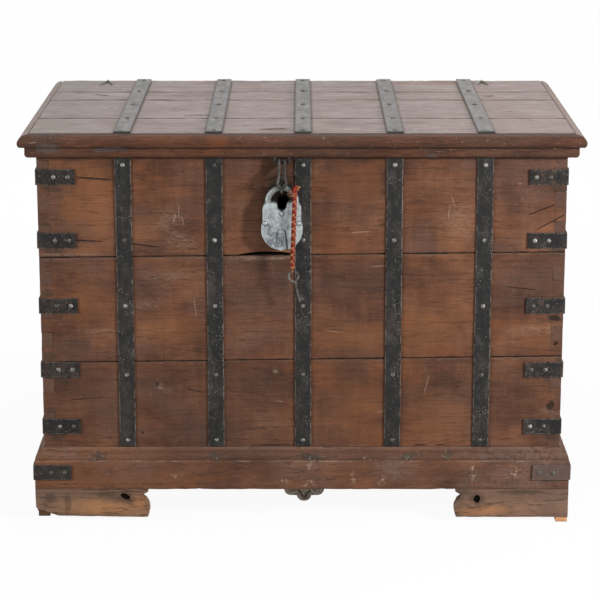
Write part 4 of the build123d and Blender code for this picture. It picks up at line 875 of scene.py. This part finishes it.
def add_strand(bm, points, radius, material_index, closed=False, thinning=0.0, sides=1, smooth=1):
    """Joins a round strand through points to a bmesh. It may thin towards its end."""
    last = len(points) - 1
    places = [(*point, 1.0 - thinning * index / last) for index, point in enumerate(points)]
    shape = {"bevel_depth": radius, "bevel_resolution": sides, "use_fill_caps": not closed}
    join(bm, curve_mesh(places, closed, smooth, **shape), material_index)


def loop_points(centre, normal, radius, count, wobble=0.0):
    """Points round a circle, drawn off it by up to the wobble."""
    normal = Vector(normal).normalized()
    first = normal.orthogonal().normalized()
    second = normal.cross(first).normalized()
    points = []
    for index in range(count):
        angle = 2 * math.pi * index / count
        reach = radius + (rng.uniform(-wobble, wobble) if wobble else 0.0)
        lift = normal * (rng.uniform(-wobble, wobble) if wobble else 0.0)
        across = first * math.cos(angle) * reach
        over = second * math.sin(angle) * reach
        points.append(Vector(centre) + across + over + lift)
    return points


def add_twisted_ring(bm, ring, offset, turns, radius, material_indices):
    """Two strands wound round each other along a closed line."""
    count = len(ring)
    lines = ([], [])
    for index, point in enumerate(ring):
        direction = (ring[(index + 1) % count] - ring[index - 1]).normalized()
        side = direction.cross(Vector((0.31, 0.87, 0.38))).normalized()
        other = direction.cross(side)
        angle = 2 * math.pi * turns * index / count
        for line, phase in zip(lines, (0.0, math.pi)):
            line.append(point + (side * math.cos(angle + phase) + other * math.sin(angle + phase)) * offset)
    for line, material_index in zip(lines, material_indices):
        add_strand(bm, line, radius, material_index, closed=True)


# ---------------------------------------------------------------- padlock

def softened(node, name, body, material, width, segments=3):
    """A CAD piece with its edges rounded as filing and use leave them."""
    piece = finished(name, merged_copy(node), body, "lock_steel", [material], replaced=(node,))
    round_edges(piece, width, segments, 40.0)


softened("padlock_front_plate", "lock_front_plate", "padlock", steel, 0.0012, 4)
softened("padlock_back_shell", "lock_back_shell", "padlock", steel, 0.0006)
softened("keyhole_cover", "swinging_cover", "cover", cover_steel, 0.0005)


# ---------------------------------------------------------------- worn wood and iron

def cut_across(bm, low, high, spacings, rim):
    """Cuts the faces into cells, with one more cut close to each end, so that wear has points to move."""
    for axis, spacing in enumerate(spacings):
        if not spacing:
            continue
        start, end = low[axis], high[axis]
        count = max(2, round((end - start) / spacing))
        places = [start + (end - start) * step / count for step in range(1, count)]
        if rim:
            places += [start + rim, end - rim]
        normal = Vector([1.0 if other == axis else 0.0 for other in range(3)])
        for place in places:
            everything = bm.verts[:] + bm.edges[:] + bm.faces[:]
            plane = {"plane_co": normal * place, "plane_no": normal}
            bmesh.ops.bisect_plane(bm, geom=everything, dist=0.00002, **plane)


def wear_away(bm, edge_wear, face_wear, grain, seed):
    """Moves points inwards: a lot along the arrises, a little on the faces."""
    bm.normal_update()
    offset = Vector((seed * 1.7, seed * 0.9, seed * 2.3))
    moves = []
    for vertex in bm.verts:
        arris = max((edge.calc_face_angle(0.0) for edge in vertex.link_edges), default=0.0) > math.radians(35)
        place = Vector([part * fine for part, fine in zip(vertex.co, grain)]) + offset
        loss = max(0.0, noise.noise(place) * 0.9 + 0.35)
        nicks = max(0.0, noise.noise(place * 3.1 + offset) - 0.25) * 2.0
        depth = edge_wear * (loss * 0.7 + nicks) if arris else face_wear * loss
        moves.append(vertex.normal * -depth)
    for vertex, move in zip(bm.verts, moves):
        vertex.co += move


def worn(node, body, slot, cuts, edge_wear, face_wear, grain, rim, rounding, seed):
    """A CAD piece as use has left it: dented faces and rubbed, nicked arrises, all inside its own outline."""
    bm = merged_copy(node)
    cut_across(bm, *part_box(node), cuts, rim)
    wear_away(bm, edge_wear, face_wear, grain, seed)
    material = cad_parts[node].material_slots[0].material
    piece = finished("worn_" + node, bm, body, slot, [material], replaced=(node,), sharp=30)
    round_edges(piece, rounding, 2, 30.0)
    return piece


def fraction(value):
    return min(1.0, max(0.0, value))


SHRUNK_MIDDLE = -0.058
SHRUNK_HALF_LENGTH = 0.062
SHRUNK_DEPTH = 0.003
SHRUNK_BELOW = 0.532


def shrink_back(board):
    """Below the padlock the board's lower edge has pulled away from the next board."""
    for vertex in board.data.vertices:
        x, _, z = vertex.co
        middle = max(0.0, 1.0 - ((x - SHRUNK_MIDDLE) / SHRUNK_HALF_LENGTH) ** 2)
        vertex.co.z += SHRUNK_DEPTH * middle * fraction((SHRUNK_BELOW - z) / 0.01)


SOLE_LOSS = 0.0024
CORNER_LOSS = 0.0022
CORNER_START = 0.455
RUBBED_BELOW = 0.04


def rub_down(foot):
    """Dragged over floors, the foot has lost its outer bottom corner and a little of its sole."""
    for vertex in foot.data.vertices:
        x, y, z = vertex.co
        outward = fraction((-x - 0.3) / 0.17)
        corner = fraction((-x - CORNER_START) / 0.032)
        lift = (SOLE_LOSS * outward + CORNER_LOSS * corner * corner) * fraction((-y - 0.2) / 0.06)
        vertex.co.z += lift * fraction((RUBBED_BELOW - z) / 0.03)


SIDE_BOARD = (0.0011, 0.0005, (60, 45, 60), 0.004, 0.001)
FOOT = (0.0009, 0.0008, (40, 40, 40), 0, 0.0016)
CORNER_IRON = ((0.007, 0.008, 0), 0.0012, 0.0006, (90, 90, 90), 0, 0.0005)
# Each row: nodes, body, slot, cuts, wear of arrises and of faces, grain, rim, rounding, first seed.
WORN_PIECES = (
    (named("front_plank", ROWS), "case", "case_wood", (0.009, 0, 0.045),
     0.0004, 0.0005, (45, 60, 60), 0.004, 0.0006, 0),
    (named("left_plank", ROWS), "case", "case_wood", (0, 0.009, 0.045), *SIDE_BOARD, 3),
    (named("right_plank", ROWS), "case", "case_wood", (0, 0.009, 0.045), *SIDE_BOARD, 6),
    (named("back_plank", ROWS), "case", "case_wood", (0.015, 0, 0.05),
     0.0012, 0.0006, (45, 60, 60), 0.004, 0.001, 9),
    (named("lid_plank", range(1, 5)), "lid", "lid_wood", (0.01, 0.03, 0),
     0.0012, 0.0005, (35, 60, 60), 0.004, 0.0014, 20),
    (["lid_moulding_front"], "lid", "moulding_wood", (0.008, 0, 0),
     0.0009, 0.0003, (60, 60, 60), 0.003, 0.0007, 30),
    (named("lid_moulding", SIDES), "lid", "moulding_wood", (0, 0.01, 0),
     0.0007, 0.0003, (40, 40, 40), 0.003, 0.0007, 31),
    (["plinth_front"], "case", "case_wood", (0.008, 0, 0.03),
     0.0014, 0.0005, (50, 60, 60), 0.003, 0.0009, 33),
    (named("plinth", SIDES), "case", "case_wood", (0, 0.009, 0.03),
     0.0012, 0.0004, (60, 60, 60), 0.003, 0.0008, 34),
    (named("foot_front", SIDES), "case", "foot_wood", (0.007, 0.009, 0.008), *FOOT, 36),
    (named("foot_back", SIDES), "case", "foot_wood", (0.01, 0.01, 0.01), *FOOT, 38),
    (named("front_strap", FIVE), "case", "strap_iron", (0.006, 0, 0.012),
     0.0007, 0.0005, (120, 60, 60), 0.0015, 0.0005, 40),
    (named("lid_strap", FIVE), "lid", "strap_iron", (0, 0, 0), 0.0003, 0.0, (60, 60, 60), 0, 0.0005, 46),
    (["corner_straps_front", "corner_straps_back"], "case", "strap_iron", *CORNER_IRON, 52),
)
worn_pieces = {}
for nodes, *settings, first_seed in WORN_PIECES:
    for seed, node in enumerate(nodes, first_seed):
        worn_pieces[node] = worn(node, *settings, seed)
shrink_back(worn_pieces["front_plank_upper"])
rub_down(worn_pieces["foot_front_left"])


# ---------------------------------------------------------------- painted shade in the foot holes

def hole_shade_finish():
    # A near-black speckled finish standing in for the shade inside the holes.
    f = Finish("painted_hole_shade")
    hole_speckle = f.cloud(400, 400, 400, detail=4)
    f.ramp(hole_speckle, (0.36, (16, 13, 11)), (0.52, (28, 23, 19)), (0.68, (46, 38, 31)))
    return f.surface(0.95, f.bump(hole_speckle, 0.002), specular=0.1)


painted_hole_shade = hole_shade_finish()
HOLE_SHADE_BEHIND = 0.01
HALF_HOLE_SHADE = 0.006


def hole_shade(name, x, z, half_length, half_height):
    """A near-black plug in a hole through a foot, a few millimetres behind its face: painted shade for the
    inside of the hole.
    """
    bm = bmesh.new()
    bmesh.ops.create_icosphere(bm, subdivisions=4, radius=1.0)
    centre = Vector((x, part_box("foot_front_left")[0][1] + HOLE_SHADE_BEHIND, z))
    half_sizes = (half_length, HALF_HOLE_SHADE, half_height)
    for vertex in bm.verts:
        rough = 1.0 + noise.noise(vertex.co * 2.3 + centre * 50) * 0.12
        vertex.co = centre + Vector([part * half for part, half in zip(vertex.co, half_sizes)]) * rough
    finished(name, bm, "case", "foot_wood", [painted_hole_shade])


hole_shade("left_hole_shade", -0.336, 0.051, 0.0105, 0.0085)
hole_shade("right_hole_shade", 0.333, 0.046, 0.0082, 0.0098)

# ---------------------------------------------------------------- plaited cord

slant = math.radians(KNOT_ANGLE)
CORD_X = LOCK_X + SHACKLE_RADIUS * math.cos(slant) + 0.005
CORD_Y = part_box("key_cord")[0][1] + 0.0054
CORD_Z = SHOULDER_Z + SHACKLE_RADIUS * math.sin(slant) - 0.0007
cord_route = [
    (CORD_X, CORD_Y, CORD_Z),
    (CORD_X, CORD_Y, CORD_Z - 0.023),
    (CORD_X - 0.0018, CORD_Y - 0.0004, CORD_Z - 0.053),
    (CORD_X - 0.0021, CORD_Y - 0.0003, CORD_Z - 0.083),
    (CORD_X - 0.0041, CORD_Y, CORD_Z - 0.109),
    (CORD_X - 0.0041, CORD_Y, CORD_Z - 0.135),
]
PLAIT_RADIUS = 0.0033
PLAIT_WEAVE = 0.00055
PLAIT_STRAND = 0.00125
PLAIT_PITCH = 0.0125
PLAIT_COLOURS = {1: (0, 1, 0, 0), -1: (2, 0, 1, 0)}
ON_KEY_LINE = ("key_line", "cord_red")
YARN_SHARP = 80


def middle_line(route, steps):
    """Points of the smooth line that a route's points control."""
    mesh = curve_mesh([(*place, 1.0) for place in route], steps=steps)
    points = [vertex.co.copy() for vertex in mesh.vertices]
    bpy.data.meshes.remove(mesh)
    return points


def plait(points):
    """Eight strands, four each way round, that pass over and under each other."""
    bm = bmesh.new()
    lengths = [0.0]
    for before, after in zip(points, points[1:]):
        lengths.append(lengths[-1] + (after - before).length)
    for way, colours in PLAIT_COLOURS.items():
        for strand, colour in enumerate(colours):
            line = []
            for index, point in enumerate(points):
                after = points[min(index + 1, len(points) - 1)]
                before = points[max(index - 1, 0)]
                direction = (after - before).normalized()
                side = direction.cross(Vector((0, 1, 0))).normalized()
                other = direction.cross(side)
                turn = way * 2 * math.pi * lengths[index] / PLAIT_PITCH + strand * math.pi / 2
                reach = PLAIT_RADIUS + way * PLAIT_WEAVE * math.cos(4 * turn)
                line.append(point + (side * math.cos(turn) + other * math.sin(turn)) * reach)
            add_strand(bm, line, PLAIT_STRAND, colour)
    return bm


cord_line = middle_line(cord_route, 32)
plait_yarns = [red_yarn, gold_yarn, dark_yarn]
plaited = finished("plaited_cord", plait(cord_line), *ON_KEY_LINE, plait_yarns, ("key_cord",), YARN_SHARP)


# ---------------------------------------------------------------- knots and tuft

def on_bow(angle):
    """Point of the shackle's middle line and the direction along it there."""
    turn = math.radians(angle)
    x = LOCK_X + SHACKLE_RADIUS * math.cos(turn)
    z = SHOULDER_Z + SHACKLE_RADIUS * math.sin(turn)
    return Vector((x, LOCK_Y, z)), Vector((-math.sin(turn), 0, math.cos(turn)))


def random_vector(*ranges):
    return Vector([rng.uniform(low, high) for low, high in ranges])


ANY_WAY = ((-1, 1),) * 3
KEY_LOOP = 0.0055
FIBRES = 46
outward = Vector((math.cos(slant) * 0.84, -0.54, math.sin(slant) * 0.84))
knot_centre = on_bow(KNOT_ANGLE)[0] + outward * (BAR_RADIUS + KNOT_RADIUS + 0.0003)
cord_top = Vector(cord_route[0])
cord_end = Vector(cord_route[-1])


def knotting():
    """Two turns round the shackle, the tangled knot, the cord's whipped ends and the key's loop."""
    bm = bmesh.new()
    for angle in (KNOT_ANGLE - 7.5, KNOT_ANGLE + 7.5):
        add_twisted_ring(bm, loop_points(*on_bow(angle), 0.008, 48), 0.0009, 11, 0.00095, (0, 1))
    for index in range(7):
        normal = random_vector(*ANY_WAY).normalized()
        ring = loop_points(knot_centre, normal, 0.0049, 22, wobble=0.0005)
        add_twisted_ring(bm, ring, 0.0008, 7, 0.00095, (0, 1 if index % 3 == 0 else 0))
    core = bmesh.new()
    bmesh.ops.create_icosphere(core, subdivisions=3, radius=0.0046, matrix=Matrix.Translation(knot_centre))
    core_mesh = bpy.data.meshes.new("core")
    core.to_mesh(core_mesh)
    core.free()
    join(bm, core_mesh, 0)
    for index in range(4):
        centre = cord_top + Vector((0, 0, 0.0008 + 0.0019 * index))
        tilt = Vector((*random_vector((-0.12, 0.12), (-0.12, 0.12)), 1))
        ring = loop_points(centre, tilt, 0.0037, 28, wobble=0.0001)
        add_twisted_ring(bm, ring, 0.0006, 9, 0.0008, (0, 1 if index == 1 else 0))
    crown = cord_top + Vector((0, 0, 0.007))
    for index in range(5):
        spread = random_vector(*ANY_WAY) * 0.0018
        start = cord_top + spread * 0.6 + Vector((0, 0, 0.001))
        middle = (crown + knot_centre) / 2 + spread + Vector((0, 0, 0.0018))
        line = [start, crown + spread * 0.8, middle, knot_centre + spread]
        add_strand(bm, line, 0.0015, 1 if index == 2 else 0, sides=2, smooth=6)
    for index in range(3):
        centre = cord_end - Vector((0, 0, 0.0006 + 0.0013 * index))
        ring = loop_points(centre, (0, 0, 1), 0.0036, 28, wobble=0.00012)
        add_twisted_ring(bm, ring, 0.0005, 9, 0.00085, (1, 0))
    key_place = (cord_end.x, cord_end.y, cord_end.z - 0.003 - KEY_LOOP)
    add_twisted_ring(bm, loop_points(key_place, (1, 0, 0), KEY_LOOP, 36), 0.0006, 9, 0.0009, (1, 0))
    return bm


def frayed():
    """Short loose fibres at the knot."""
    bm = bmesh.new()
    root = knot_centre + Vector((0.0035, -0.003, 0.0025))
    for _ in range(FIBRES):
        lean = random_vector((-0.3, 1.0), (-0.9, 0.0), (-0.2, 0.7)).normalized()
        droop = random_vector((-0.3, 0.6), (-0.3, 0.1), (-0.5, 0.3))
        length = rng.uniform(0.0034, 0.0056)
        line = [root, root + lean * length * 0.5, root + (lean + droop * 0.6).normalized() * length]
        add_strand(bm, line, 0.00042, 0, thinning=0.75, sides=0, smooth=3)
    return bm


knot_yarns = [red_yarn, gold_yarn]
knot_piece = finished("cord_knotting", knotting(), *ON_KEY_LINE, knot_yarns, ("cord_knots",), YARN_SHARP)
tuft_piece = finished("frayed_tuft", frayed(), *ON_KEY_LINE, [cream_yarn], sharp=YARN_SHARP)


# ---------------------------------------------------------------- floor, light and camera

def floor_paint():
    """White to the camera and in reflections, a little greyer near the chest, and matt to other light."""
    f, x, y, _ = begin("pale_floor")
    kinds = ("Camera", "Glossy", "Transmission")
    rays = [f.node("ShaderNodeLightPath", out=f"Is {kind} Ray") for kind in kinds]
    white = f.node("ShaderNodeEmission", inputs={"Color": (1, 1, 1, 1), "Strength": 1.0})
    matt = f.node("ShaderNodeBsdfDiffuse", inputs={"Color": f.mix(rays[0], (174, 174, 174), (243, 243, 243))})
    paleness = f.length(f.vector(x, y)).rise(0.6, 1.5) * 0.05 + 0.94
    seen = (rays[0] + rays[1] + rays[2]).least(1.0) * paleness
    return f.end(f.node("ShaderNodeMixShader", inputs={0: seen, 1: matt, 2: white}))


floor_mesh = bpy.data.meshes.new("floor")
floor_shape = bmesh.new()
bmesh.ops.create_grid(floor_shape, x_segments=1, y_segments=1, size=12.0)
floor_shape.to_mesh(floor_mesh)
floor_shape.free()
floor = bpy.data.objects.new("floor", floor_mesh)
bpy.context.scene.collection.objects.link(floor)
floor.data.materials.append(floor_paint())


def studio():
    """A world that is white to the camera and in reflections, and dim as a light."""
    world = bpy.data.worlds.new("studio")
    world.use_nodes = True
    nodes = world.node_tree.nodes
    links = world.node_tree.links
    background = nodes["Background"]
    background.inputs["Color"].default_value = (1, 1, 1, 1)
    ray = nodes.new("ShaderNodeLightPath")
    either = nodes.new("ShaderNodeMath")
    either.operation = "MAXIMUM"
    links.new(ray.outputs["Is Camera Ray"], either.inputs[0])
    links.new(ray.outputs["Is Glossy Ray"], either.inputs[1])
    strength = nodes.new("ShaderNodeMapRange")
    strength.inputs["To Min"].default_value = 0.13
    strength.inputs["To Max"].default_value = 1.0
    links.new(either.outputs[0], strength.inputs["Value"])
    links.new(strength.outputs[0], background.inputs["Strength"])
    return world


def soft_light(name, place, target, size, power):
    light = bpy.data.lights.new(name, "AREA")
    light.shape = "RECTANGLE"
    light.size, light.size_y = size
    light.energy = power
    lamp = bpy.data.objects.new(name, light)
    lamp.location = place
    lamp.rotation_euler = (Vector(target) - Vector(place)).to_track_quat("-Z", "Y").to_euler()
    bpy.context.scene.collection.objects.link(lamp)


bpy.context.scene.world = studio()
soft_light("right_light", (2.37, -1.76, 1.3), (0, CASE_FRONT, 0.5), (0.34, 0.4), 96)
soft_light("left_light", (-2.9, -1.85, 1.15), (0, CASE_FRONT, 0.5), (0.42, 0.46), 58)
soft_light("top_light", (0.1, -0.2, 2.9), (0, 0, 0.7), (2.2, 1.6), 27)
soft_light("back_light", (0.0, 3.3, 0.4), (0, CASE_BACK, 0.4), (0.9, 0.5), 48)

camera_data = bpy.data.cameras.new("camera")
camera_data.sensor_width = 36.0
camera_data.lens = 133.8
camera = bpy.data.objects.new("camera", camera_data)
camera.location = (-0.0037, -4.3356, 1.476)
camera.rotation_euler = (math.radians(90 - 14.5), 0, 0)
bpy.context.scene.collection.objects.link(camera)
bpy.context.scene.camera = camera
bpy.context.scene.view_settings.view_transform = "Standard"
